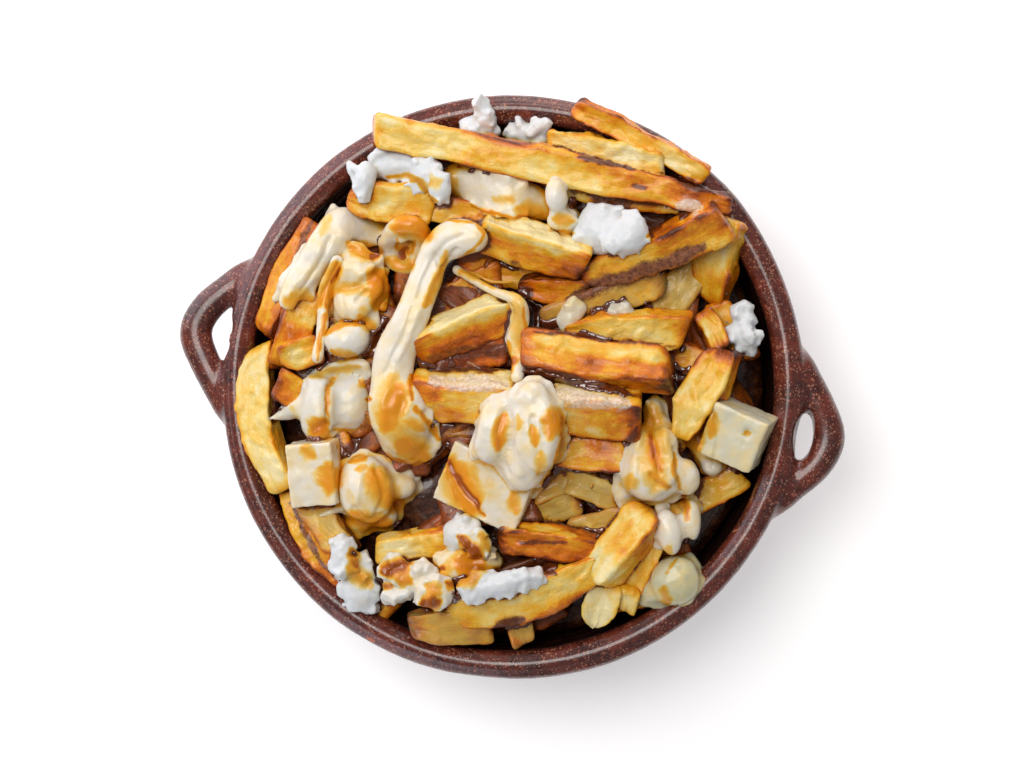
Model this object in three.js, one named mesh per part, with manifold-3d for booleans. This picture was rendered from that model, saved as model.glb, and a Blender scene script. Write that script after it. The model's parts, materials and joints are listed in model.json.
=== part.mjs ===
// A dish of poutine: hand-cut fries, cheese curds and melted cheese, heaped in a round glazed
// earthenware dish with two pierced lugs. Millimetres, +Z up. The origin is the centre of the
// dish's foot, and +X runs through one of the lugs.
import * as THREE from "three";
import { mergeVertices } from "three/addons/utils/BufferGeometryUtils.js";
import Module from "manifold-3d";

const wasm = await Module();
wasm.setup();

// Dish
const DISH_HEIGHT = 48;
const FOOT_RADIUS = 60;
const ROLL_RADIUS = 4.6; // the rolled rim's own round section
const ROLL_CENTRE = 83.8; // distance of that section's middle from the dish's axis
const ROLL_Z = DISH_HEIGHT - ROLL_RADIUS;
const NECK_RADIUS = 84.6;
const FLOOR_Z = 6;
const DISH_SIDES = 38;

// Lugs
const LUG_REACH = 96.6; // the middle of the lug's strand at its tip
const LUG_HALF_LENGTH = 25;
const LUG_Z = 40.5;
const LUG_HALF_WIDTH = 5.1;
const LUG_HALF_HEIGHT = 4.4;
const LUG_HOLE = { centre: 89.4, halfAcross: 2.9, halfAlong: 9.5 };

// Food
const GAP = 0.35; // left between the separate pieces
const SERVING_TURN = 8.5; // degrees from the picture's level to the lugs' axis
const CORE_EDGE_Z = 33;
const CORE_CROWN_Z = 46;
const CORE_SIDES = 20;
const EYE = { distance: 700, tilt: 6, side: -12 }; // how the heap is looked at, from above
const CELL = 1; // of the map of heights that the pieces are laid on
const HALF_MAP = 106;

const COLOURS = {
  glaze: { color: 0x4a2720, roughness: 0.3 },
  fry: { color: 0xd99a36, roughness: 0.5 },
  curd: { color: 0xf1e8d2, roughness: 0.45 },
  melt: { color: 0xe6c58a, roughness: 0.4 },
};

// The pieces of the heap, from the bottom to the top. Places are [right, up] in the picture,
// in millimetres at the level of the rim, from the dish's axis.
// fry: ends with their heights above the foot, width, thickness, roll, then the scales of both
// ends and a sideways bow where it has them. A stick is a fry deep in the heap.
// lump: round parts [right, up, lift, half width, half depth, half height, turn].
// strand: round sections [right, up, half width, half height] that drape one by one.
// block: middle, size, turn and tilt.
const HEAP = [
  ["stick", "under_top", [-17, 74, 37], [15, 71, 37], 10, 9, 10],
  ["stick", "under_north", [-32, 65, 40], [14, 60, 42], 10, 9, 0],
  ["stick", "under_north_east", [22, 58, 43], [60, 42, 42], 10, 10, 0],
  ["stick", "under_centre", [-14, 37, 46], [22, 33, 45], 11, 10, 15],
  ["stick", "under_west", [-26, 22, 45], [-2, 33, 46], 10, 10, 0],
  ["stick", "under_left", [-61, 44, 43], [-51, 12, 45], 11, 9, 0],
  ["stick", "under_web", [-60, 38, 47], [-36, 26, 47], 10, 9, 0],
  ["stick", "under_left_low", [-60, 6, 43], [-44, -38, 42], 10, 10, 0],
  ["stick", "under_right", [44, 18, 44], [59, 39, 43], 12, 11, 0],
  ["stick", "under_right_low", [50, -38, 38], [69, -26, 38], 10, 9, 0],
  ["stick", "under_east", [60, 2, 40], [71, -24, 39], 10, 9, 0],
  ["stick", "under_bridge_east", [48, 10, 46], [68, 4, 45], 9, 9, 0],
  ["stick", "under_shred_east", [62, 24, 42], [72, 8, 43], 8, 8, 0],
  ["stick", "under_drop_east", [38, -14, 46], [50, -34, 45], 10, 10, 0],
  ["stick", "under_south_stub", [2, -62, 40], [5, -77, 42], 8, 8, 0],
  ["stick", "under_south_west", [-45, -56, 41], [-34, -68, 41], 10, 9, 0],
  ["stick", "under_south_middle", [-34, -57, 45], [-4, -50, 44], 10, 9, 0],
  ["stick", "under_south_east", [26, -64, 38], [46, -60, 40], 10, 9, 0],
  ["fry", "left_skin_low", [-66, -30, 42], [-49, -60, 46], 10, 9, 0, 0.9, 0.6, -2],
  ["stick", "left_olive", [-59, -36, 45], [-49, -50, 47], 10, 8, 0],
  ["stick", "hollow_a", [0, -43, 43], [21, -32, 44], 10, 9, 20],
  ["stick", "hollow_b", [9, -31, 46], [28, -25, 46], 9, 9, 0],
  ["stick", "hollow_c", [17, -27, 47], [34, -35, 46], 9, 9, 0, 1, 0.7],
  ["stick", "hollow_d", [18, -44, 44], [38, -40, 46], 10, 9, 0],
  ["fry", "left_pale", [-75, 13, 44], [-67, -31, 47], 11, 10, 10, 0.8, 0.7, -5],
  ["fry", "left_skin", [-58, 49, 45], [-73, 15, 44], 9, 10, 20, 0.9, 0.8, -1],
  ["fry", "left_gold", [-62, 28, 48], [-69, 6, 50], 10, 9, -15],
  ["stick", "left_amber", [-70, 2, 50], [-60, -5, 48], 10, 9, 0],
  ["fry", "left_stub", [-70, 9, 53], [-57, 12, 50], 10, 8, 20, 0.7, 1],
  ["lump", "curd_shred_north", [[-9, 78, 0, 4.5, 4, 3.5, 0], [-7, 83, 1, 2.4, 4, 2.2, 10]]],
  ["lump", "curd_crumb_north", [[6, 75.5, 0, 6, 3.8, 3.5, -15], [9, 78, 1, 3, 2.4, 2.4, 0]]],
  ["fry", "east_upright", [66, 50, 51], [62, 24, 42], 12, 10, 15, 0.9, 0.5, -2],
  ["stick", "grey_gold", [11, 20, 47], [47, 33, 50], 11, 10, 20],
  ["lump", "curd_bead_east", [[35, 21.5, 0, 3.6, 2.8, 2.6, 0], [32, 20, 0, 2.2, 1.8, 1.8, 0]]],
  ["lump", "curd_bead_centre", [[18.5, 20.5, 0, 2.8, 3.8, 2.4, -20], [20, 23, 0, 2.2, 2.2, 1.8, 0]]],
  ["stick", "centre_orange", [3, 30, 51], [25, 30, 50], 8, 9, 25, 0.6, 0.9],
  ["fry", "skin_wedge", [21, 34, 53], [65, 50, 58], 12, 11, 25, 0.6, 1, -2],
  ["fry", "gold_wedge", [-49, 57, 51], [-22, 55, 51], 13, 10, 15, 0.45, 1],
  ["stick", "upper_gold", [-25, 54, 49], [5, 49, 49], 9, 9, 10],
  ["fry", "upper_two_tone", [-9, 47, 53], [24, 38, 57], 12, 11, 35],
  ["fry", "rim_fry", [20, 83, 52], [60, 61.5, 53], 8.5, 7, 15],
  ["fry", "pale_top", [12, 74, 49], [47, 65, 51], 10, 9, 10, 0.5, 0.9],
  ["fry", "second_top", [15, 62, 51], [57, 54, 51], 10, 9, 20, 0.9, 0.8],
  ["fry", "long_top", [-41, 79, 54], [67, 54.5, 56], 13, 10, 8, 1, 0.5, 0.5],
  ["stick", "brown_centre", [-26, 8, 50], [1, 12, 51], 11, 9, 10],
  ["stick", "lower_amber", [8, -20, 50], [36, -21, 51], 11, 10, -10],
  ["fry", "crust_wedge", [-29, -1, 54], [40, -9, 57], 15, 13, 32, 0.8, 0.95],
  ["fry", "west_two_tone", [-29, 12, 54], [4, 24, 56], 12, 11, 35, 0.9, 0.85],
  ["fry", "amber_slab", [5, 10, 58], [49, 4, 57], 13, 11, -22],
  ["fry", "olive_wedge", [17, 17, 55], [54, 17, 55], 10, 10, 20, 0.35, 1],
  ["fry", "east_crisp", [58, 22, 50], [64, 10, 51], 7, 7, 0],
  ["lump", "curd_shred_east", [[70, 15, 0, 5.2, 3.8, 3.6, -20], [70, 21, 1, 2.6, 4, 2.6, 0]]],
  ["block", "curd_cube_east", [68.5, -14.5], [17, 16, 15], -24, 14],
  ["lump", "cheese_flap_east", [[57, -16, 0, 3.4, 8.5, 3.4, 16], [61, -24, 0, 3.4, 3, 3, 0]]],
  ["fry", "east_gold", [64.5, 11, 52], [52, -16, 53], 12, 10, 12, 0.8, 0.4],
  ["block", "curd_slab_centre", [-6, -30], [27, 19, 10], -24, 10],
  ["block", "curd_prism_west", [-58.5, -26], [14, 19, 12], 4, 8],
  [
    "lump",
    "curd_south_west",
    [
      [-43, -31, 0, 8.4, 10.5, 7.5, 10],
      [-32.5, -30, 0, 5, 4.2, 4, 10],
      [-45, -40.5, 0, 4.6, 4, 3.6, 0],
      [-38, -39, 0, 4.4, 3.8, 3.6, 0],
    ],
  ],
  ["fry", "south_pale", [-40, -49, 48], [-18, -46, 48], 9, 8, 15],
  ["fry", "south_olive", [-30, -72, 49], [-5, -71, 44], 10, 10, 15, 0.7, 1],
  ["fry", "boat_wedge", [-22, -66, 48], [29, -52, 52], 13, 10, 18, 0.8, 0.6, -5],
  ["fry", "glazed_south", [-3, -45, 52], [30, -48, 52], 8.5, 8, 25, 1, 0.6],
  ["stick", "south_east_tan", [46, -42, 47], [37, -60, 46], 8.5, 8, 0],
  ["fry", "torn_tip", [31, -57, 48], [25, -72, 47], 9.5, 8, 0, 1, 0.25],
  ["stick", "torn_block", [37, -58, 47], [35, -66, 45], 8.5, 8, 0, 1, 0.8],
  ["fry", "south_east_gold", [43, -37, 54], [26, -58, 53], 11.5, 10, 20, 0.9, 0.8],
  [
    "lump",
    "curd_white_south_west",
    [
      [-44.5, -61.5, 0, 5.6, 6.6, 5, 15],
      [-50.5, -51, 0, 3.2, 6.4, 3.6, 8],
      [-46, -55, 0, 4.6, 4.2, 4, 0],
    ],
  ],
  [
    "lump",
    "curd_cluster_south",
    [
      [-28, -57.5, 0, 5.8, 5, 4.4, 20],
      [-21.5, -62, 0, 5.4, 4, 4, -10],
      [-33.5, -62, 0, 4.2, 3.2, 3.2, 0],
      [-34, -55.5, 0, 4, 3, 3, 0],
    ],
  ],
  ["lump", "curd_gravied_south", [[-15.5, -54, 0, 6.4, 4.8, 4, -20], [-8, -53, 0, 5, 3.4, 3.2, 0]]],
  ["lump", "curd_knob_south", [[-14, -44.5, 0, 5.8, 5.2, 5, 0], [-9, -48, 0, 4, 3.6, 3.4, 0]]],
  [
    "lump",
    "curd_long_south",
    [
      [-3, -59.5, 0, 9.6, 3.8, 3.6, 12],
      [5, -57, 0, 4.6, 2.8, 2.8, 8],
      [-10, -61, 0, 3.6, 2.8, 2.8, 0],
    ],
  ],
  ["lump", "curd_lemon_south_east", [[50, -58, 0, 7.6, 7.4, 5.4, 30], [44, -61, 0, 5, 4, 3.6, 20]]],
  ["lump", "curd_pip_south_east", [[48, -43.5, 0, 3.7, 7.2, 3.7, 12], [55, -40, 0, 2.8, 6, 3.4, 4]]],
  [
    "lump",
    "curd_drop_east",
    [
      [43, -26, 0, 9.6, 8.6, 6.5, 0],
      [46, -19, 1, 5, 6.6, 4.8, -10],
      [39, -19.5, 0, 4, 6.4, 4.2, -18],
      [44, -9, 1, 2.6, 5.4, 2.6, 0],
      [53, -27, 0, 4.6, 5.8, 4.2, 10],
      [34.5, -32.5, 0, 3, 2.4, 2.2, 40],
    ],
  ],
  [
    "lump",
    "cheese_drop_centre",
    [
      [9, -13, 0, 7, 13, 5.6, 4],
      [5, -23, 0, 6.6, 8.6, 5.6, 0],
      [-4, -13, 0, 5.2, 10.4, 4.4, -14],
      [7.5, -3.5, 1, 5, 5, 3.8, 0],
    ],
  ],
  [
    "strand",
    "cheese_strip_north",
    [[-15, 62, 5.6, 4], [-8, 60.5, 6.2, 4.4], [0, 58, 6, 4.2], [6, 55.5, 5.8, 4], [10.5, 54, 4.6, 3.4]],
  ],
  ["lump", "curd_pearl_north", [[14.5, 57, 0, 3.5, 5, 3.4, 10], [16.5, 49.5, 0, 5, 3, 3, -8]]],
  ["lump", "curd_white_north_east", [[28.5, 47, 0, 8, 8, 5.4, 0], [36, 45, 0, 6.6, 5.6, 4.4, 20]]],
  [
    "lump",
    "curd_white_north_west",
    [
      [-33, 67, 0, 8.6, 5.2, 4.6, 4],
      [-24.5, 64, 0, 5, 5.6, 4, 40],
      [-20.5, 59.5, 0, 3.6, 4.2, 3.2, 0],
      [-43.5, 63, 0, 3.2, 5.4, 3, -8],
    ],
  ],
  [
    "strand",
    "cheese_web_west",
    [
      [-37, 47, 3.6, 2.6],
      [-43, 47, 5, 3],
      [-50, 48.5, 6, 3],
      [-56, 43, 5, 3],
      [-60, 36.5, 4.4, 2.6],
      [-64.5, 31, 3.8, 2.4],
      [-67, 26, 3, 2],
    ],
  ],
  [
    "lump",
    "cheese_patch_west",
    [[-46, 35, 0, 6, 5.2, 3.4, 20], [-47, 25, 0, 6, 5.6, 3.4, 0], [-42, 30, 0, 4.5, 4.5, 2.8, 0]],
  ],
  ["strand", "cheese_rib_west", [[-52, 38, 1.9, 1.7], [-56, 29, 2, 1.7], [-56.5, 19, 2, 1.7], [-58, 9, 1.8, 1.6]]],
  ["lump", "curd_dome_west", [[-49, 14.5, 0, 7.2, 5.8, 5, 10]]],
  [
    "lump",
    "curd_pair_west",
    [[-57.5, -7, 0, 5.8, 10, 5.6, -6], [-47.8, -4.5, 0, 7, 9.2, 6.2, 0], [-50, 4.5, 0, 7.5, 2.4, 2.6, 14]],
  ],
  [
    "strand",
    "cheese_curl",
    [
      [-36.5, 38, 2.6, 2.4],
      [-36.2, 44, 2.8, 2.4],
      [-33, 48.4, 2.9, 2.5],
      [-27.5, 48, 3, 2.6],
      [-25.6, 43, 2.9, 2.5],
      [-28.2, 38.2, 2.6, 2.4],
    ],
  ],
  [
    "strand",
    "cheese_ribbon",
    [
      [-10.5, 44.5, 4.4, 4],
      [-16, 44.5, 6, 4.6],
      [-21.5, 41, 4.8, 4],
      [-25.4, 31, 5, 3.8],
      [-29.8, 20, 5.4, 3.8],
      [-34, 10, 6.2, 4],
      [-35.2, 0, 6.6, 4],
      [-33.4, -8, 8.6, 4],
      [-30, -16, 8.6, 4],
    ],
  ],
  [
    "strand",
    "cheese_thread",
    [
      [-15.5, 35, 1.6, 1.4],
      [-9, 31, 1.3, 1.2],
      [-3, 28, 1.5, 1.3],
      [3, 25.5, 1.9, 1.5],
      [4.2, 20, 2.4, 1.5],
      [2.2, 14, 2.8, 1.5],
      [3.2, 8, 2.2, 1.4],
      [2.8, 2.6, 2, 1.4],
    ],
  ],
];

// Turns a closed triangle mesh into a solid that can be joined and cut.
function solidOf(positions, triangles) {
  const loose = new THREE.BufferGeometry();
  loose.setAttribute("position", new THREE.Float32BufferAttribute(positions, 3));
  loose.setIndex(triangles);
  const merged = mergeVertices(loose, 1e-4);
  return new wasm.Manifold(
    new wasm.Mesh({
      numProp: 3,
      vertProperties: merged.attributes.position.array,
      triVerts: new Uint32Array(merged.index.array),
    }),
  );
}

function solidOfGeometry(geometry) {
  geometry.deleteAttribute("normal");
  geometry.deleteAttribute("uv");
  const merged = mergeVertices(geometry, 1e-4);
  return solidOf(merged.attributes.position.array, [...merged.index.array]);
}

// Joins rings of points, each seen anticlockwise from the far end, into one closed skin.
function sweep(rings) {
  const positions = [];
  const triangles = [];
  const sides = rings[0].length;
  for (const ring of rings) {
    for (const p of ring) {
      positions.push(p.x, p.y, p.z);
    }
  }
  for (let k = 0; k + 1 < rings.length; k++) {
    for (let i = 0; i < sides; i++) {
      const j = (i + 1) % sides;
      const low = k * sides;
      const high = low + sides;
      triangles.push(low + i, low + j, high + j, low + i, high + j, high + i);
    }
  }
  const last = (rings.length - 1) * sides;
  for (let i = 1; i + 1 < sides; i++) {
    triangles.push(0, i + 1, i, last, last + i, last + i + 1);
  }
  return solidOf(positions, triangles);
}

// The dish's outline from the middle of the foot, up the outside, over the rim and down inside.
function dishOutline(grow) {
  const outside = new THREE.SplineCurve([
    new THREE.Vector2(FOOT_RADIUS, 0),
    new THREE.Vector2(67.5, 4),
    new THREE.Vector2(77.5, 15),
    new THREE.Vector2(83.4, 27),
    new THREE.Vector2(NECK_RADIUS, 37),
  ]).getPoints(4);
  const inside = new THREE.SplineCurve([
    new THREE.Vector2(79.2, ROLL_Z - 1),
    new THREE.Vector2(78.6, 34),
    new THREE.Vector2(75, 20),
    new THREE.Vector2(66, 9.5),
    new THREE.Vector2(50, FLOOR_Z),
  ]).getPoints(4);
  const roll = [];
  const FROM = -0.3 * Math.PI;
  const TO = 0.95 * Math.PI;
  const STEPS = 6;
  for (let k = 0; k <= STEPS; k++) {
    const angle = FROM + ((TO - FROM) * k) / STEPS;
    const radius = ROLL_RADIUS + grow;
    roll.push(
      new THREE.Vector2(ROLL_CENTRE + radius * Math.cos(angle), ROLL_Z + radius * Math.sin(angle)),
    );
  }
  const moved = inside.map((p) => new THREE.Vector2(p.x - grow, p.y + grow));
  return [
    new THREE.Vector2(0, 0),
    ...outside,
    ...roll,
    ...moved,
    new THREE.Vector2(0, FLOOR_Z + grow),
  ];
}

// One lug: a strand of clay that leaves the rim, rounds the tip and joins the rim again.
function lugSolid(side) {
  const path = new THREE.CatmullRomCurve3([
    new THREE.Vector3(side * 80.4, -LUG_HALF_LENGTH, LUG_Z + 1),
    new THREE.Vector3(side * 87.6, -16, LUG_Z),
    new THREE.Vector3(side * 94, -7.5, LUG_Z),
    new THREE.Vector3(side * LUG_REACH, 0, LUG_Z),
    new THREE.Vector3(side * 94, 7.5, LUG_Z),
    new THREE.Vector3(side * 87.6, 16, LUG_Z),
    new THREE.Vector3(side * 80.4, LUG_HALF_LENGTH, LUG_Z + 1),
  ]);
  const STEPS = 10;
  const SIDES = 8;
  const rings = [];
  for (let k = 0; k <= STEPS; k++) {
    const point = path.getPoint(k / STEPS);
    const along = path.getTangent(k / STEPS);
    const across = new THREE.Vector3(-along.y, along.x, 0).normalize();
    const ring = [];
    const scale = k === 0 || k === STEPS ? 0.62 : 1;
    for (let i = 0; i < SIDES; i++) {
      const angle = (2 * Math.PI * i) / SIDES;
      ring.push(
        point
          .clone()
          .addScaledVector(across, LUG_HALF_WIDTH * scale * Math.cos(angle))
          .add(new THREE.Vector3(0, 0, LUG_HALF_HEIGHT * scale * Math.sin(angle))),
      );
    }
    rings.push(ring);
  }
  return sweep(rings);
}

// The slot through a lug, cut straight down.
function lugSlot(side) {
  const SIDES = 14;
  const rings = [LUG_Z - 12, DISH_HEIGHT + 6].map((z) => {
    const ring = [];
    for (let i = 0; i < SIDES; i++) {
      const angle = (2 * Math.PI * i) / SIDES;
      ring.push(
        new THREE.Vector3(
          side * LUG_HOLE.centre + LUG_HOLE.halfAcross * Math.cos(angle),
          LUG_HOLE.halfAlong * Math.sin(angle),
          z,
        ),
      );
    }
    return ring;
  });
  return sweep(rings);
}

function bowlSolid(grow) {
  return solidOfGeometry(new THREE.LatheGeometry(dishOutline(grow), DISH_SIDES).rotateX(Math.PI / 2));
}

function dishSolid() {
  let dish = bowlSolid(0);
  for (const side of [-1, 1]) {
    dish = dish.add(lugSolid(side)).subtract(lugSlot(side));
  }
  return dish;
}

// How high the inside of the dish and its rim stand at a distance from the axis.
function dishTopAt(radius) {
  if (radius > ROLL_CENTRE + ROLL_RADIUS) {
    return 0;
  }
  const fromRoll = radius - ROLL_CENTRE;
  if (fromRoll > -ROLL_RADIUS) {
    return ROLL_Z + Math.sqrt(ROLL_RADIUS ** 2 - fromRoll ** 2);
  }
  const share = Math.max(0, (radius - 50) / (78.6 - 50));
  return FLOOR_Z + (34 - FLOOR_Z) * share ** 2.2;
}

// The core's bumpy crown, which everything else lies on.
function coreTopAt(x, y) {
  const share = Math.min(1, Math.hypot(x, y) / 78);
  const bumps = 0.9 * Math.sin(x * 0.21 + 1) * Math.cos(y * 0.17) + 0.6 * Math.sin((x - y) * 0.33);
  return CORE_EDGE_Z + (CORE_CROWN_Z - CORE_EDGE_Z) * (1 - share ** 2.6) + bumps * (1 - share ** 4);
}

function coreSolid() {
  const positions = [];
  const triangles = [];
  const RINGS = [0.4, 0.75, 1];
  const under = [
    [73, 17],
    [60, 9],
    [40, FLOOR_Z + 0.5],
  ];
  const edge = 77;
  positions.push(0, 0, coreTopAt(0, 0));
  const rows = [
    ...RINGS.map((share) => [edge * share * 0.985, null]),
    ...under,
  ];
  for (const [radius, z] of rows) {
    for (let i = 0; i < CORE_SIDES; i++) {
      const angle = (2 * Math.PI * i) / CORE_SIDES;
      const x = radius * Math.cos(angle);
      const y = radius * Math.sin(angle);
      positions.push(x, y, z ?? coreTopAt(x, y) + (radius > 75 ? 1 : 0));
    }
  }
  positions.push(0, 0, FLOOR_Z + 0.5);
  const foot = 1 + rows.length * CORE_SIDES;
  for (let i = 0; i < CORE_SIDES; i++) {
    const j = (i + 1) % CORE_SIDES;
    triangles.push(0, 1 + i, 1 + j);
    for (let k = 0; k + 1 < rows.length; k++) {
      const a = 1 + k * CORE_SIDES;
      const b = a + CORE_SIDES;
      triangles.push(a + i, b + i, b + j, a + i, b + j, a + j);
    }
    const last = 1 + (rows.length - 1) * CORE_SIDES;
    triangles.push(foot, last + j, last + i);
  }
  return solidOf(positions, triangles);
}

// A square map of how high the heap stands, which grows as each piece is laid.
const MAP_SIDE = Math.round((2 * HALF_MAP) / CELL) + 1;
const heights = new Float64Array(MAP_SIDE * MAP_SIDE);

function cellAt(value) {
  return Math.min(MAP_SIDE - 1, Math.max(0, Math.round((value + HALF_MAP) / CELL)));
}

function heightAt(x, y) {
  return heights[cellAt(y) * MAP_SIDE + cellAt(x)];
}

// Raises the map under a piece: top(x, y) gives its height there, or null beside it.
function raise(x0, y0, reach, top) {
  for (let row = cellAt(y0 - reach); row <= cellAt(y0 + reach); row++) {
    for (let column = cellAt(x0 - reach); column <= cellAt(x0 + reach); column++) {
      const found = top(column * CELL - HALF_MAP, row * CELL - HALF_MAP);
      const index = row * MAP_SIDE + column;
      if (found !== null && found > heights[index]) {
        heights[index] = found;
      }
    }
  }
}

const tilt = THREE.MathUtils.degToRad(EYE.tilt);
const side = THREE.MathUtils.degToRad(EYE.side);
const eye = new THREE.Vector3(
  EYE.distance * Math.sin(tilt) * Math.cos(side),
  EYE.distance * Math.sin(tilt) * Math.sin(side),
  EYE.distance * Math.cos(tilt),
);

// The point at height z on the line of sight through a place in the picture.
function seenAt([right, up], z) {
  const share = (z - DISH_HEIGHT) / eye.z;
  return new THREE.Vector3(right + (eye.x - right) * share, up + (eye.y - up) * share, z);
}

// How far a rolled bar's skin stands above its middle line, at a distance to one side of it.
function skinAbove(off, width, thick, roll) {
  const beside = roll < 0 ? -off : off;
  const turn = Math.max(0.01, Math.abs(roll));
  const face = thick / 2 / Math.cos(turn) + beside * Math.tan(turn);
  const flank = width / 2 / Math.sin(turn) - beside / Math.tan(turn);
  return Math.min(face, flank);
}

function layFry([, , from, to, width, thick, roll = 0, fromScale = 1, toScale = 1, bow = 0]) {
  const turn = THREE.MathUtils.degToRad(roll);
  const halfWide = 0.5 * (width * Math.cos(turn) + Math.abs(thick * Math.sin(turn)));
  const scaleAt = (s) =>
    Math.min(1, fromScale + (1 - fromScale) * s * 3, toScale + (1 - toScale) * (1 - s) * 3);
  const a = seenAt(from, from[2]);
  const b = seenAt(to, to[2]);
  const length = Math.hypot(b.x - a.x, b.y - a.y);
  const across = new THREE.Vector3(a.y - b.y, b.x - a.x, 0).normalize();
  const axis = (s) => a.clone().lerp(b, s).addScaledVector(across, bow * 4 * s * (1 - s));
  raise((a.x + b.x) / 2, (a.y + b.y) / 2, length / 2 + halfWide + Math.abs(bow), (x, y) => {
    const s = ((x - a.x) * (b.x - a.x) + (y - a.y) * (b.y - a.y)) / length ** 2;
    if (s < 0 || s > 1) {
      return null;
    }
    const c = axis(s);
    const scale = scaleAt(s);
    const off = ((x - c.x) * across.x + (y - c.y) * across.y) / scale;
    return Math.abs(off) > halfWide ? null : c.z + skinAbove(off, width, thick, turn) * scale;
  });
  return { axis, across, roll: turn, width, thick, scaleAt };
}

// A fry as a bent bar with its ends drawn in a little. One deep in the heap is a plain bar.
function fryPiece({ axis, across, roll, width, thick, scaleAt }, deep) {
  const tapered = scaleAt(0) < 1 || scaleAt(1) < 1;
  const plain = tapered ? [0, 0.34, 0.66, 1] : [0, 0.05, 0.95, 1];
  const STOPS = deep ? [0, 1] : plain;
  const CHAMFER = 0.22;
  const rings = STOPS.map((s) => {
    const p = axis(s);
    const along = axis(Math.min(1, s + 0.02)).sub(axis(Math.max(0, s - 0.02))).normalize();
    const up = new THREE.Vector3().crossVectors(along, across).normalize();
    const wide = across.clone().applyAxisAngle(along, roll);
    const tall = up.clone().applyAxisAngle(along, roll);
    const end = !deep && (s === 0 || s === 1) ? 0.8 : 1;
    const w = (width / 2) * scaleAt(s) * end;
    const t = (thick / 2) * scaleAt(s) * end;
    const cut = CHAMFER * Math.min(width, thick) * scaleAt(s);
    const corners = [
      [w, -t + cut],
      [w, t - cut],
      [w - cut, t],
      [-w + cut, t],
      [-w, t - cut],
      [-w, -t + cut],
      [-w + cut, -t],
      [w - cut, -t],
    ];
    const square = [
      [w, -t],
      [w, t],
      [-w, t],
      [-w, -t],
    ];
    return (deep ? square : corners).map(([x, y]) =>
      p.clone().addScaledVector(wide, x).addScaledVector(tall, y),
    );
  });
  return sweep(rings);
}

function ballGround(x, y, reachX, reachY, turn) {
  let highest = 0;
  for (const [cx, cy] of [
    [0, 0],
    [0.55, 0],
    [-0.55, 0],
    [0, 0.55],
    [0, -0.55],
  ]) {
    const px = cx * reachX;
    const py = cy * reachY;
    highest = Math.max(
      highest,
      heightAt(x + px * Math.cos(turn) - py * Math.sin(turn), y + px * Math.sin(turn) + py * Math.cos(turn)),
    );
  }
  return highest;
}

function raiseBall(c, halfX, halfY, halfZ, turn) {
  raise(c.x, c.y, Math.max(halfX, halfY), (x, y) => {
    const dx = x - c.x;
    const dy = y - c.y;
    const ex = (dx * Math.cos(turn) + dy * Math.sin(turn)) / halfX;
    const ey = (-dx * Math.sin(turn) + dy * Math.cos(turn)) / halfY;
    const inside = 1 - ex * ex - ey * ey;
    return inside < 0 ? null : c.z + halfZ * Math.sqrt(inside);
  });
}

// Each round part of a lump settles by itself, no lower than its neighbours can let it hang.
function layLump([, , parts]) {
  const SETTLE = 0.62; // of a part's half height, from the ground to its middle
  const HANG = 0.5; // of two parts' half heights, from one middle down to the next
  const places = parts.map(([right, up, lift, halfX, halfY, halfZ, turn]) => {
    const p = seenAt([right, up], DISH_HEIGHT + 6);
    const angle = THREE.MathUtils.degToRad(turn);
    const z = ballGround(p.x, p.y, halfX, halfY, angle) + halfZ * SETTLE + lift;
    return { at: [right, up], z, halfX, halfY, halfZ, turn: angle };
  });
  for (let round = 0; round < places.length; round++) {
    for (const one of places) {
      const others = places.filter((other) => other !== one);
      others.sort((a, b) => apart(one, a) - apart(one, b));
      const next = others[0];
      if (next) {
        one.z = Math.max(one.z, next.z - HANG * (one.halfZ + next.halfZ));
      }
    }
  }
  return places.map(({ at, z, halfX, halfY, halfZ, turn }) => {
    const centre = seenAt(at, z);
    raiseBall(centre, halfX, halfY, halfZ, turn);
    return { centre, halfX, halfY, halfZ, turn };
  });
}

function apart(a, b) {
  return Math.hypot(a.at[0] - b.at[0], a.at[1] - b.at[1]);
}

// A round part: the smaller it is, the fewer faces it has.
function ballGeometry(size) {
  if (size < 6) {
    return new THREE.OctahedronGeometry(1, 1);
  }
  return new THREE.IcosahedronGeometry(1, size > 9 ? 2 : 1);
}

function lumpPiece(balls, grow) {
  return balls
    .map(({ centre, halfX, halfY, halfZ, turn }) =>
      solidOfGeometry(
        ballGeometry(Math.min(halfX, halfY))
          .scale(halfX + grow, halfY + grow, halfZ + grow)
          .rotateZ(turn)
          .translate(centre.x, centre.y, centre.z),
      ),
    )
    .reduce((all, one) => all.add(one));
}

// A strand drapes section by section, and hangs a little between what holds it up.
function layStrand([, , sections]) {
  const HANG = 0.8;
  const low = sections.map(([right, up, halfX, halfZ]) => {
    const p = seenAt([right, up], DISH_HEIGHT + 8);
    return ballGround(p.x, p.y, halfX, halfX, 0) + halfZ * 0.7;
  });
  for (let round = 0; round < 12; round++) {
    for (let k = 1; k + 1 < low.length; k++) {
      low[k] = Math.max(low[k], (low[k - 1] + low[k + 1]) / 2 - HANG);
    }
  }
  return sections.map(([right, up, halfX, halfZ], k) => {
    const centre = seenAt([right, up], low[k]);
    raiseBall(centre, halfX, halfX, halfZ, 0);
    return { centre, halfX, halfZ };
  });
}

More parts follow.
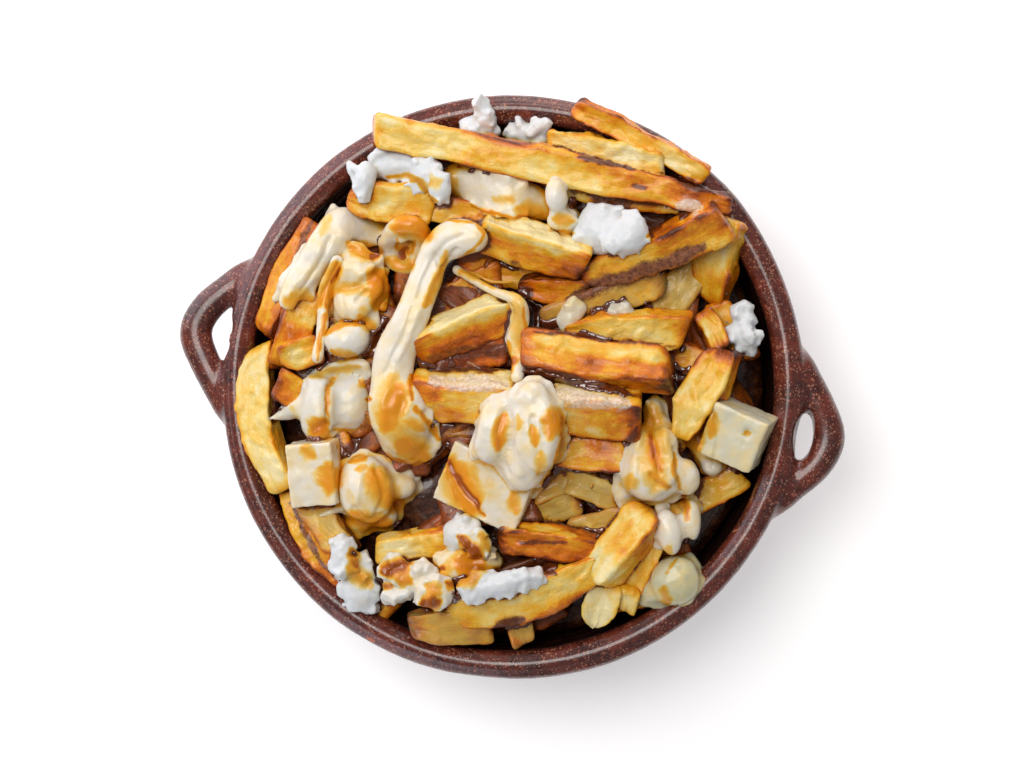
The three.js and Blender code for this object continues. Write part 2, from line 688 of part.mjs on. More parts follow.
function strandPiece(sections, grow) {
  const SIDES = 6;
  const SPANS_EACH = 1;
  const path = new THREE.CatmullRomCurve3(sections.map((s) => s.centre));
  const spans = (sections.length - 1) * SPANS_EACH;
  const rings = [];
  const ringAt = (share, pull, scale) => {
    const along = path.getTangent(share);
    const across = new THREE.Vector3(-along.y, along.x, 0).normalize();
    const up = new THREE.Vector3().crossVectors(along, across);
    const place = share * (sections.length - 1);
    const low = Math.min(sections.length - 2, Math.floor(place));
    const mix = place - low;
    const halfX = THREE.MathUtils.lerp(sections[low].halfX, sections[low + 1].halfX, mix) + grow;
    const halfZ = THREE.MathUtils.lerp(sections[low].halfZ, sections[low + 1].halfZ, mix) + grow;
    const p = path.getPoint(share).addScaledVector(along, pull * halfX);
    const ring = [];
    for (let i = 0; i < SIDES; i++) {
      const angle = (2 * Math.PI * i) / SIDES;
      ring.push(
        p
          .clone()
          .addScaledVector(across, halfX * scale * Math.cos(angle))
          .addScaledVector(up, halfZ * scale * Math.sin(angle)),
      );
    }
    return ring;
  };
  rings.push(ringAt(0, -0.9, 0.4));
  rings.push(ringAt(0, -0.6, 0.8));
  for (let k = 0; k <= spans; k++) {
    rings.push(ringAt(k / spans, 0, 1));
  }
  rings.push(ringAt(1, 0.6, 0.8));
  rings.push(ringAt(1, 0.9, 0.4));
  return sweep(rings);
}

function layBlock([, , middle, [long, deep, high], turn, lean]) {
  const angle = THREE.MathUtils.degToRad(turn);
  const BLOCK_SINK = 1.5;
  const p = seenAt(middle, DISH_HEIGHT + 4);
  const ground = ballGround(p.x, p.y, long / 2, deep / 2, angle);
  const centre = seenAt(middle, ground + high / 2 - BLOCK_SINK);
  raiseBall(centre, long * 0.56, deep * 0.56, high / 2, angle);
  return { centre, size: [long, deep, high], turn: angle, lean: THREE.MathUtils.degToRad(lean) };
}

// A block is a box whose corners have softened.
function blockPiece({ centre, size, turn, lean }, grow) {
  const [x, y, z] = size.map((value) => value / 2 + grow);
  const soft = 0.16 * Math.min(...size);
  const outline = [
    [x, -y + soft],
    [x, y - soft],
    [x - soft, y],
    [-x + soft, y],
    [-x, y - soft],
    [-x, -y + soft],
    [-x + soft, -y],
    [x - soft, -y],
  ];
  const place = new THREE.Matrix4()
    .makeTranslation(centre.x, centre.y, centre.z)
    .multiply(new THREE.Matrix4().makeRotationFromEuler(new THREE.Euler(lean, -lean * 0.6, turn, "ZYX")));
  const rings = [
    [-z, 1 - soft / x],
    [-z + soft, 1],
    [z - soft, 1],
    [z, 1 - soft / x],
  ].map(([level, scale]) =>
    outline.map(([px, py]) => new THREE.Vector3(px * scale, py * scale, level).applyMatrix4(place)),
  );
  return sweep(rings);
}

function largestOf(solid) {
  return solid.decompose().reduce((best, one) => (one.volume() > best.volume() ? one : best));
}

function meshOf(name, solid, look) {
  const made = solid.getMesh();
  const geometry = new THREE.BufferGeometry();
  geometry.setAttribute("position", new THREE.Float32BufferAttribute(made.vertProperties, 3));
  geometry.setIndex([...made.triVerts]);
  const mesh = new THREE.Mesh(geometry, new THREE.MeshStandardMaterial({ ...COLOURS[look], metalness: 0 }));
  mesh.name = name;
  return mesh;
}

// The heap is laid piece by piece on the dish and the core.
for (let row = 0; row < MAP_SIDE; row++) {
  for (let column = 0; column < MAP_SIDE; column++) {
    const x = column * CELL - HALF_MAP;
    const y = row * CELL - HALF_MAP;
    const radius = Math.hypot(x, y);
    heights[row * MAP_SIDE + column] = Math.max(dishTopAt(radius), radius < 76 ? coreTopAt(x, y) : 0);
  }
}

const LAY = { fry: layFry, stick: layFry, lump: layLump, strand: layStrand, block: layBlock };
const SHAPE = { lump: lumpPiece, strand: strandPiece, block: blockPiece };

const laid = HEAP.map((row) => ({ kind: row[0], name: row[1], form: LAY[row[0]](row) }));
const dishRoom = bowlSolid(GAP);

let fries = coreSolid();
for (const piece of laid.filter((one) => one.kind === "fry" || one.kind === "stick")) {
  fries = fries.add(fryPiece(piece.form, piece.kind === "stick"));
}
fries = fries.subtract(dishRoom);

const serving = new THREE.Group();
serving.rotation.z = THREE.MathUtils.degToRad(SERVING_TURN);
let room = dishRoom;
for (const piece of laid.filter((one) => one.kind in SHAPE)) {
  const solid = largestOf(SHAPE[piece.kind](piece.form, 0).subtract(room));
  const roomFor = SHAPE[piece.kind](piece.form, GAP);
  room = room.add(roomFor);
  fries = fries.subtract(roomFor);
  serving.add(meshOf(piece.name, solid, piece.kind === "strand" ? "melt" : "curd"));
}
serving.add(meshOf("fries_heap", largestOf(fries), "fry"));

const poutine = new THREE.Group();
poutine.add(meshOf("dish", dishSolid(), "glaze"));
poutine.add(serving);

export default poutine;
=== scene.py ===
"""A dish of poutine: thick fries, cheese curds, melted cheese and gravy in a glazed earthenware dish.

The dish is spun and given its lugs, the fries are cut, laid and browned one by one, the cheese is
moulded and draped over them, and the gravy runs down and gathers between them.
"""

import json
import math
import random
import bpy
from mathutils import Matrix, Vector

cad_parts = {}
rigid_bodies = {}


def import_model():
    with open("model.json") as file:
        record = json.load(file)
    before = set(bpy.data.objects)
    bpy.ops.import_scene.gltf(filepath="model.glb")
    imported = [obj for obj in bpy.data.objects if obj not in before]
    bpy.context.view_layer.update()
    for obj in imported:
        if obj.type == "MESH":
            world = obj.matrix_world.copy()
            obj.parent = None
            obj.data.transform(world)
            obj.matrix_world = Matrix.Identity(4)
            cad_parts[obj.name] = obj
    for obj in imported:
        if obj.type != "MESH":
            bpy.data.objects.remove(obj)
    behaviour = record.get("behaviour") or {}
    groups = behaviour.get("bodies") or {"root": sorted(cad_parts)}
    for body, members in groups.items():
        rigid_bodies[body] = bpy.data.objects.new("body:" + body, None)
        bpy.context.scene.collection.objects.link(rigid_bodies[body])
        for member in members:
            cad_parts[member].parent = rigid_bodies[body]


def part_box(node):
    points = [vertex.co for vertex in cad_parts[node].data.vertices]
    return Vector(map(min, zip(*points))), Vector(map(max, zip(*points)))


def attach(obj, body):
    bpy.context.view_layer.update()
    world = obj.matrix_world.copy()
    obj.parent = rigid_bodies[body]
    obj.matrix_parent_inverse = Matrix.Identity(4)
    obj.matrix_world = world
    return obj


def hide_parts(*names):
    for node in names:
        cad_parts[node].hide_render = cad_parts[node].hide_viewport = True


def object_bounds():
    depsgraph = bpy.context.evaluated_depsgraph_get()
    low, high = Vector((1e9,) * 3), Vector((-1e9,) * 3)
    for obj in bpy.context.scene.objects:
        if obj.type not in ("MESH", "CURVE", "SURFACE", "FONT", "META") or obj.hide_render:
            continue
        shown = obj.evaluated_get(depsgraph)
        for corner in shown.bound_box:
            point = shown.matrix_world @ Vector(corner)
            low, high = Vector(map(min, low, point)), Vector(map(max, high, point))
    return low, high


bl_info = {
    "name": "Dish of Poutine",
    "version": (1, 0, 0),
    "blender": (4, 5, 0),
    "location": "3D View > Sidebar > Poutine",
    "description": "Makes a glazed dish heaped with fries, cheese curds and gravy",
    "category": "Object",
}

import bmesh
import bpy
import numpy as np
from mathutils import Matrix, Vector
from mathutils.bvhtree import BVHTree

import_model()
CAD_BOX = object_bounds()
MM = 0.001

# Dish, in millimetres
DISH_HEIGHT = CAD_BOX[1][2] * 0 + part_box("dish")[1][2] / MM
FOOT_RADIUS = 60
ROLL_RADIUS = 4.6
ROLL_CENTRE = 83.8
ROLL_Z = DISH_HEIGHT - ROLL_RADIUS
NECK_RADIUS = 84.6
FLOOR_Z = 6
LUG_Z = 40.5
LUG_HALF_WIDTH = 5.1
LUG_HALF_HEIGHT = 4.4

# Food, in millimetres: the same map and view as the solids were laid with
SERVING_TURN = math.radians(8.5)
CORE_EDGE_Z = 33
CORE_CROWN_Z = 46
EYE_DISTANCE = 700
EYE_TILT = math.radians(6)
EYE_SIDE = math.radians(-12)
CELL = 1
HALF_MAP = 106

# The fine map of what shows from above, in millimetres
TOP_REACH = 86
TOP_CELL = 0.5

# Fries: how finely each is cut, by its length in millimetres
FACE_CELLS = 14
FRY_CELLS = ((28, 36), (45, 58), (75, 90), (1000, 138))
FRY_PIECES = ("deep_fries", "bottom_fries", "lower_fries", "middle_fries", "upper_fries")
# Fries that lie low, greyed towards olive: partly their own colour and partly painted shade of the depth
OLIVE_SHADED_FRIES = ("grey_gold", "south_olive", "left_olive", "hollow_a", "hollow_b",
               "hollow_c", "hollow_d", "under_right", "under_south_stub", "under_east")

# Fries cut narrower than they were laid, so that their neighbours show: share of the width, shift up in
# the picture and lift, in millimetres
TRIMMED_FRIES = {"long_top": (0.84, -1.3, 0), "rim_fry": (0.74, 1.2, 0), "pale_top": (1, 0, 2.5)}

# The photograph's frame
IMAGE_WIDTH = 1024
IMAGE_HEIGHT = 768
MM_PER_PIXEL = 0.3
AXIS_PIXEL = (508, 386)

# Fries from the bottom of the heap to the top: name, both ends [right, up, height], width,
# thickness, roll, scales of both ends, bow, then the browning of both ends and of the front
# face (0 pale, 1 dark brown), and how much skin is left on the front. The front face's
# browning is partly painted shade, as that face looks down the picture, away from the light.
FRIES = [
    ("under_top", (-17, 74, 37), (15, 71, 37), 10, 9, 10, 1, 1, 0, 0.5, 0.6, 0.2, 0),
    ("under_north", (-32, 65, 40), (14, 60, 42), 10, 9, 0, 1, 1, 0, 0.5, 0.5, 0.2, 0),
    ("under_north_east", (22, 58, 43), (60, 42, 42), 10, 10, 0, 1, 1, 0, 0.6, 0.5, 0.2, 0),
    ("under_centre", (-14, 37, 46), (22, 33, 45), 11, 10, 15, 1, 1, 0, 0.6, 0.45, 0.2, 0),
    ("under_west", (-26, 22, 45), (-2, 33, 46), 10, 10, 0, 1, 1, 0, 0.6, 0.6, 0.2, 0),
    ("under_left", (-61, 44, 43), (-51, 12, 45), 11, 9, 0, 1, 1, 0, 0.6, 0.6, 0.2, 0),
    ("under_web", (-60, 38, 47), (-36, 26, 47), 10, 9, 0, 1, 1, 0, 0.5, 0.5, 0.2, 0),
    ("under_left_low", (-60, 6, 43), (-44, -38, 42), 10, 10, 0, 1, 1, 0, 0.6, 0.5, 0.2, 0),
    ("under_right", (44, 18, 44), (59, 39, 43), 12, 11, 0, 1, 1, 0, 0.25, 0.25, 0.1, 0),
    ("under_right_low", (50, -38, 38), (69, -26, 38), 10, 9, 0, 1, 1, 0, 0.35, 0.35, 0.2, 0),
    ("under_east", (60, 2, 40), (71, -24, 39), 10, 9, 0, 1, 1, 0, 0.5, 0.5, 0.2, 0),
    ("under_bridge_east", (48, 10, 46), (68, 4, 45), 9, 9, 0, 1, 1, 0, 0.5, 0.5, 0.2, 0),
    ("under_shred_east", (62, 24, 42), (72, 8, 43), 8, 8, 0, 1, 1, 0, 0.4, 0.4, 0.2, 0),
    ("under_drop_east", (38, -14, 46), (50, -34, 45), 10, 10, 0, 1, 1, 0, 0.5, 0.5, 0.2, 0),
    ("under_south_stub", (2, -62, 40), (5, -77, 42), 8, 8, 0, 1, 1, 0, 0.3, 0.35, 0.1, 0),
    ("under_south_west", (-45, -56, 41), (-34, -68, 41), 10, 9, 0, 1, 1, 0, 0.4, 0.4, 0.2, 0),
    ("under_south_middle", (-34, -57, 45), (-4, -50, 44), 10, 9, 0, 1, 1, 0, 0.5, 0.5, 0.2, 0),
    ("under_south_east", (26, -64, 38), (46, -60, 40), 10, 9, 0, 1, 1, 0, 0.4, 0.4, 0.2, 0),
    ("left_skin_low", (-66, -30, 42), (-49, -60, 46), 10, 9, 0, 0.9, 0.6, -2, 0.45, 0.65, 0.2, 0.7),
    ("left_olive", (-59, -36, 45), (-49, -50, 47), 10, 8, 0, 1, 1, 0, 0.3, 0.4, 0.1, 0),
    ("hollow_a", (0, -43, 43), (21, -32, 44), 10, 9, 20, 1, 1, 0, 0.3, 0.3, 0.2, 0),
    ("hollow_b", (9, -31, 46), (28, -25, 46), 9, 9, 0, 1, 1, 0, 0.25, 0.3, 0.2, 0),
    ("hollow_c", (17, -27, 47), (34, -35, 46), 9, 9, 0, 1, 0.7, 0, 0.25, 0.3, 0.2, 0),
    ("hollow_d", (18, -44, 44), (38, -40, 46), 10, 9, 0, 1, 1, 0, 0.35, 0.5, 0.2, 0),
    ("left_pale", (-75, 13, 44), (-67, -31, 47), 11, 10, 10, 0.8, 0.7, -5, 0.12, 0.2, 0.1, 0),
    ("left_skin", (-58, 49, 45), (-73, 15, 44), 9, 10, 20, 0.9, 0.8, -1, 0.6, 0.5, 0.1, 0.6),
    ("left_gold", (-62, 28, 48), (-69, 6, 50), 10, 9, -15, 1, 1, 0, 0.4, 0.5, 0.1, 0),
    ("left_amber", (-70, 2, 50), (-60, -5, 48), 10, 9, 0, 1, 1, 0, 0.55, 0.6, 0.1, 0),
    ("left_stub", (-70, 9, 53), (-57, 12, 50), 10, 8, 20, 0.7, 1, 0, 0.4, 0.35, 0.2, 0),
    ("east_upright", (66, 50, 51), (62, 24, 42), 12, 10, 15, 0.9, 0.5, -2, 0.35, 0.45, 0.1, 0),
    ("grey_gold", (11, 20, 47), (47, 33, 50), 11, 10, 20, 1, 1, 0, 0.3, 0.3, 0.2, 0),
    ("centre_orange", (3, 30, 51), (25, 30, 50), 8, 9, 25, 0.6, 0.9, 0, 0.7, 0.5, 0.2, 0),
    ("skin_wedge", (21, 34, 53), (65, 50, 58), 12, 11, 25, 0.6, 1, -2, 0.45, 0.5, 0.2, 0.8),
    ("gold_wedge", (-49, 57, 51), (-22, 55, 51), 13, 10, 15, 0.45, 1, 0, 0.3, 0.3, 0.2, 0),
    ("upper_gold", (-25, 54, 49), (5, 49, 49), 9, 9, 10, 1, 1, 0, 0.45, 0.4, 0.2, 0),
    ("upper_two_tone", (-9, 47, 53), (24, 38, 57), 12, 11, 35, 1, 1, 0, 0.15, 0.1, 0.5, 0),
    ("rim_fry", (20, 83, 52), (60, 61.5, 53), 8.5, 7, 15, 1, 1, 0, 0.45, 0.3, 0.1, 0),
    ("pale_top", (12, 74, 49), (47, 65, 51), 10, 9, 10, 0.5, 0.9, 0, 0.08, 0.15, 0.3, 0),
    ("second_top", (15, 62, 51), (57, 54, 51), 10, 9, 20, 0.9, 0.8, 0, 0.2, 0.35, 0.2, 0),
    ("long_top", (-41, 79, 54), (67, 54.5, 56), 13, 10, 8, 1, 0.5, 0.5, 0.12, 0.5, 0.25, 0),
    ("brown_centre", (-26, 8, 50), (1, 12, 51), 11, 9, 10, 1, 1, 0, 0.8, 0.75, 0.1, 0),
    ("lower_amber", (8, -20, 50), (36, -21, 51), 11, 10, -10, 1, 1, 0, 0.45, 0.4, 0.2, 0),
    ("crust_wedge", (-29, -1, 54), (40, -9, 57), 15, 13, 32, 0.8, 0.95, 0, 0.1, 0.15, 0.55, 0),
    ("west_two_tone", (-29, 12, 54), (4, 24, 56), 12, 11, 35, 0.9, 0.85, 0, 0.15, 0.2, 0.5, 0),
    ("amber_slab", (5, 10, 58), (49, 4, 57), 13, 11, -22, 1, 1, 0, 0.6, 0.5, 0.1, 0),
    ("olive_wedge", (17, 17, 55), (54, 17, 55), 10, 10, 20, 0.35, 1, 0, 0.3, 0.25, 0.3, 0),
    ("east_crisp", (58, 22, 50), (64, 10, 51), 7, 7, 0, 1, 1, 0, 0.6, 0.5, 0.1, 0),
    ("east_gold", (64.5, 11, 52), (52, -16, 53), 12, 10, 12, 0.8, 0.4, 0, 0.45, 0.2, 0.2, 0),
    ("south_pale", (-40, -49, 48), (-18, -46, 48), 9, 8, 15, 1, 1, 0, 0.1, 0.2, 0.5, 0),
    ("south_olive", (-30, -72, 49), (-5, -71, 44), 10, 10, 15, 0.7, 1, 0, 0.4, 0.3, 0.1, 0.2),
    ("boat_wedge", (-22, -66, 48), (29, -52, 52), 13, 10, 18, 0.8, 0.6, -5, 0.2, 0.35, 0.05, 0),
    ("glazed_south", (-3, -45, 52), (30, -48, 52), 8.5, 8, 25, 1, 0.6, 0, 0.75, 0.75, 0.1, 0),
    ("south_east_tan", (46, -42, 47), (37, -60, 46), 8.5, 8, 0, 1, 1, 0, 0.35, 0.35, 0.1, 0),
    ("torn_tip", (31, -57, 48), (25, -72, 47), 9.5, 8, 0, 1, 0.25, 0, 0.1, 0.08, 0, 0),
    ("torn_block", (37, -58, 47), (35, -66, 45), 8.5, 8, 0, 1, 0.8, 0, 0.2, 0.15, 0, 0),
    ("south_east_gold", (43, -37, 54), (26, -58, 53), 11.5, 10, 20, 0.9, 0.8, 0, 0.25, 0.2, 0.1, 0),
]

# Cheese in the order that it was laid: node, the fry that it was laid after, kind, shape and look.
# A lump's shape is round parts [right, up, lift, half width, half depth, half height, turn], a
# strand's is sections [right, up, half width, half height], a block's is middle, size, turn, tilt.
# A look is (whiteness, crumbliness, stain, lemon).
CHEESE = [
    ("curd_shred_north", "left_stub", "lump",
     [(-9, 78, 0, 4.5, 4, 3.5, 0), (-7, 83, 1, 2.4, 4, 2.2, 10)], (1, 1, 0.1, 0)),
    ("curd_crumb_north", "left_stub", "lump",
     [(6, 75.5, 0, 6, 3.8, 3.5, -15), (9, 78, 1, 3, 2.4, 2.4, 0)], (0.9, 0.8, 0.1, 0)),
    ("curd_bead_east", "grey_gold", "lump",
     [(35, 21.5, 0, 3.6, 2.8, 2.6, 0), (32, 20, 0, 2.2, 1.8, 1.8, 0)], (0.8, 0.5, 0.1, 0.4)),
    ("curd_bead_centre", "grey_gold", "lump",
     [(18.5, 20.5, 0, 2.8, 3.8, 2.4, -20), (20, 23, 0, 2.2, 2.2, 1.8, 0)], (0.5, 0.5, 0.3, 0.4)),
    ("curd_shred_east", "east_crisp", "lump",
     [(70, 15, 0, 5.2, 3.8, 3.6, -20), (70, 21, 1, 2.6, 4, 2.6, 0)], (1, 1, 0, 0)),
    ("curd_cube_east", "east_crisp", "block", [(68.5, -14.5), (17, 16, 15), -24, 14], (0.35, 0, 0.05, 0.6)),
    ("cheese_flap_east", "east_crisp", "lump",
     [(57, -16, 0, 3.4, 8.5, 3.4, 16), (61, -24, 0, 3.4, 3, 3, 0)], (0.3, 0.1, 0.25, 0)),
    ("curd_slab_centre", "east_gold", "block", [(-6, -30), (27, 19, 10), -24, 10], (0.3, 0, 0.4, 0)),
    ("curd_prism_west", "east_gold", "block", [(-58.5, -26), (14, 19, 12), 4, 8], (0.4, 0, 0.35, 0)),
    ("curd_south_west", "east_gold", "lump",
     [(-43, -31, 0, 8.4, 10.5, 7.5, 10), (-32.5, -30, 0, 5, 4.2, 4, 10), (-45, -40.5, 0, 4.6, 4, 3.6, 0),
      (-38, -39, 0, 4.4, 3.8, 3.6, 0)], (0.4, 0.3, 0.45, 0)),
    ("curd_white_south_west", "south_east_gold", "lump",
     [(-44.5, -61.5, 0, 5.6, 6.6, 5, 15), (-50.5, -51, 0, 3.2, 6.4, 3.6, 8),
      (-46, -55, 0, 4.6, 4.2, 4, 0)], (1, 0.8, 0.3, 0)),
    ("curd_cluster_south", "south_east_gold", "lump",
     [(-28, -57.5, 0, 5.8, 5, 4.4, 20), (-21.5, -62, 0, 5.4, 4, 4, -10), (-33.5, -62, 0, 4.2, 3.2, 3.2, 0),
      (-34, -55.5, 0, 4, 3, 3, 0)], (0.75, 0.9, 0.5, 0)),
    ("curd_gravied_south", "south_east_gold", "lump",
     [(-15.5, -54, 0, 6.4, 4.8, 4, -20), (-8, -53, 0, 5, 3.4, 3.2, 0)], (0.3, 0.5, 0.8, 0)),
    ("curd_knob_south", "south_east_gold", "lump",
     [(-14, -44.5, 0, 5.8, 5.2, 5, 0), (-9, -48, 0, 4, 3.6, 3.4, 0)], (0.85, 0.7, 0.3, 0)),
    ("curd_long_south", "south_east_gold", "lump",
     [(-3, -59.5, 0, 9.6, 3.8, 3.6, 12), (5, -57, 0, 4.6, 2.8, 2.8, 8), (-10, -61, 0, 3.6, 2.8, 2.8, 0)],
     (1, 0.8, 0.05, 0)),
    ("curd_lemon_south_east", "south_east_gold", "lump",
     [(50, -58, 0, 7.6, 7.4, 5.4, 30), (44, -61, 0, 5, 4, 3.6, 20)], (0.3, 0.3, 0.15, 1)),
    ("curd_pip_south_east", "south_east_gold", "lump",
     [(48, -43.5, 0, 3.7, 7.2, 3.7, 12), (55, -40, 0, 2.8, 6, 3.4, 4)], (0.35, 0.1, 0.2, 0)),
    ("curd_drop_east", "south_east_gold", "lump",
     [(43, -26, 0, 9.6, 8.6, 6.5, 0), (46, -19, 1, 5, 6.6, 4.8, -10), (39, -19.5, 0, 4, 6.4, 4.2, -18),
      (44, -9, 1, 2.6, 5.4, 2.6, 0), (53, -27, 0, 4.6, 5.8, 4.2, 10), (34.5, -32.5, 0, 3, 2.4, 2.2, 40)],
     (0.4, 0.15, 0.4, 0)),
    ("cheese_drop_centre", "south_east_gold", "lump",
     [(9, -13, 0, 7, 13, 5.6, 4), (5, -23, 0, 6.6, 8.6, 5.6, 0), (-4, -13, 0, 5.2, 10.4, 4.4, -14),
      (7.5, -3.5, 1, 5, 5, 3.8, 0)], (0.4, 0, 0.35, 0)),
    ("cheese_strip_north", "south_east_gold", "strand",
     [(-15, 62, 5.6, 4), (-8, 60.5, 6.2, 4.4), (0, 58, 6, 4.2), (6, 55.5, 5.8, 4), (10.5, 54, 4.6, 3.4)],
     (0.25, 0.1, 0.45, 0)),
    ("curd_pearl_north", "south_east_gold", "lump",
     [(14.5, 57, 0, 3.5, 5, 3.4, 10), (16.5, 49.5, 0, 5, 3, 3, -8)], (0.5, 0.1, 0.2, 0)),
    ("curd_white_north_east", "south_east_gold", "lump",
     [(28.5, 47, 0, 8, 8, 5.4, 0), (36, 45, 0, 6.6, 5.6, 4.4, 20)], (1, 0.5, 0.05, 0)),
    ("curd_white_north_west", "south_east_gold", "lump",
     [(-33, 67, 0, 8.6, 5.2, 4.6, 4), (-24.5, 64, 0, 5, 5.6, 4, 40), (-20.5, 59.5, 0, 3.6, 4.2, 3.2, 0),
      (-43.5, 63, 0, 3.2, 5.4, 3, -8)], (1, 0.5, 0.05, 0)),
    ("cheese_web_west", "south_east_gold", "strand",
     [(-37, 47, 3.6, 2.6), (-43, 47, 5, 3), (-50, 48.5, 6, 3), (-56, 43, 5, 3), (-60, 36.5, 4.4, 2.6),
      (-64.5, 31, 3.8, 2.4), (-67, 26, 3, 2)], (0.3, 0.1, 0.25, 0)),
    ("cheese_patch_west", "south_east_gold", "lump",
     [(-46, 35, 0, 6, 5.2, 3.4, 20), (-47, 25, 0, 6, 5.6, 3.4, 0), (-42, 30, 0, 4.5, 4.5, 2.8, 0)],
     (0.2, 0.2, 0.7, 0)),
    ("cheese_rib_west", "south_east_gold", "strand",
     [(-52, 38, 1.9, 1.7), (-56, 29, 2, 1.7), (-56.5, 19, 2, 1.7), (-58, 9, 1.8, 1.6)], (0.3, 0, 0.3, 0)),
    ("curd_dome_west", "south_east_gold", "lump", [(-49, 14.5, 0, 7.2, 5.8, 5, 10)], (0.55, 0.1, 0.3, 0)),
    ("curd_pair_west", "south_east_gold", "lump",
     [(-57.5, -7, 0, 5.8, 10, 5.6, -6), (-47.8, -4.5, 0, 7, 9.2, 6.2, 0), (-50, 4.5, 0, 7.5, 2.4, 2.6, 14)],
     (0.6, 0.1, 0.3, 0.15)),
    ("cheese_curl", "south_east_gold", "strand",
     [(-36.5, 38, 2.6, 2.4), (-36.2, 44, 2.8, 2.4), (-33, 48.4, 2.9, 2.5), (-27.5, 48, 3, 2.6),
      (-25.6, 43, 2.9, 2.5), (-28.2, 38.2, 2.6, 2.4)], (0.15, 0, 0.4, 0)),
    ("cheese_ribbon", "south_east_gold", "strand",
     [(-10.5, 44.5, 4.4, 4), (-16, 44.5, 6, 4.6), (-21.5, 41, 4.8, 4), (-25.4, 31, 5, 3.8),
      (-29.8, 20, 5.4, 3.8), (-34, 10, 6.2, 4), (-35.2, 0, 6.6, 4), (-33.4, -8, 8.6, 4),
      (-30, -16, 8.6, 4)], (0.35, 0, 0.3, 0)),
    ("cheese_thread", "south_east_gold", "strand",
     [(-15.5, 35, 1.6, 1.4), (-9, 31, 1.3, 1.2), (-3, 28, 1.5, 1.3), (3, 25.5, 1.9, 1.5),
      (4.2, 20, 2.4, 1.5), (2.2, 14, 2.8, 1.5), (3.2, 8, 2.2, 1.4), (2.8, 2.6, 2, 1.4)],
     (0.25, 0, 0.35, 0)),
]
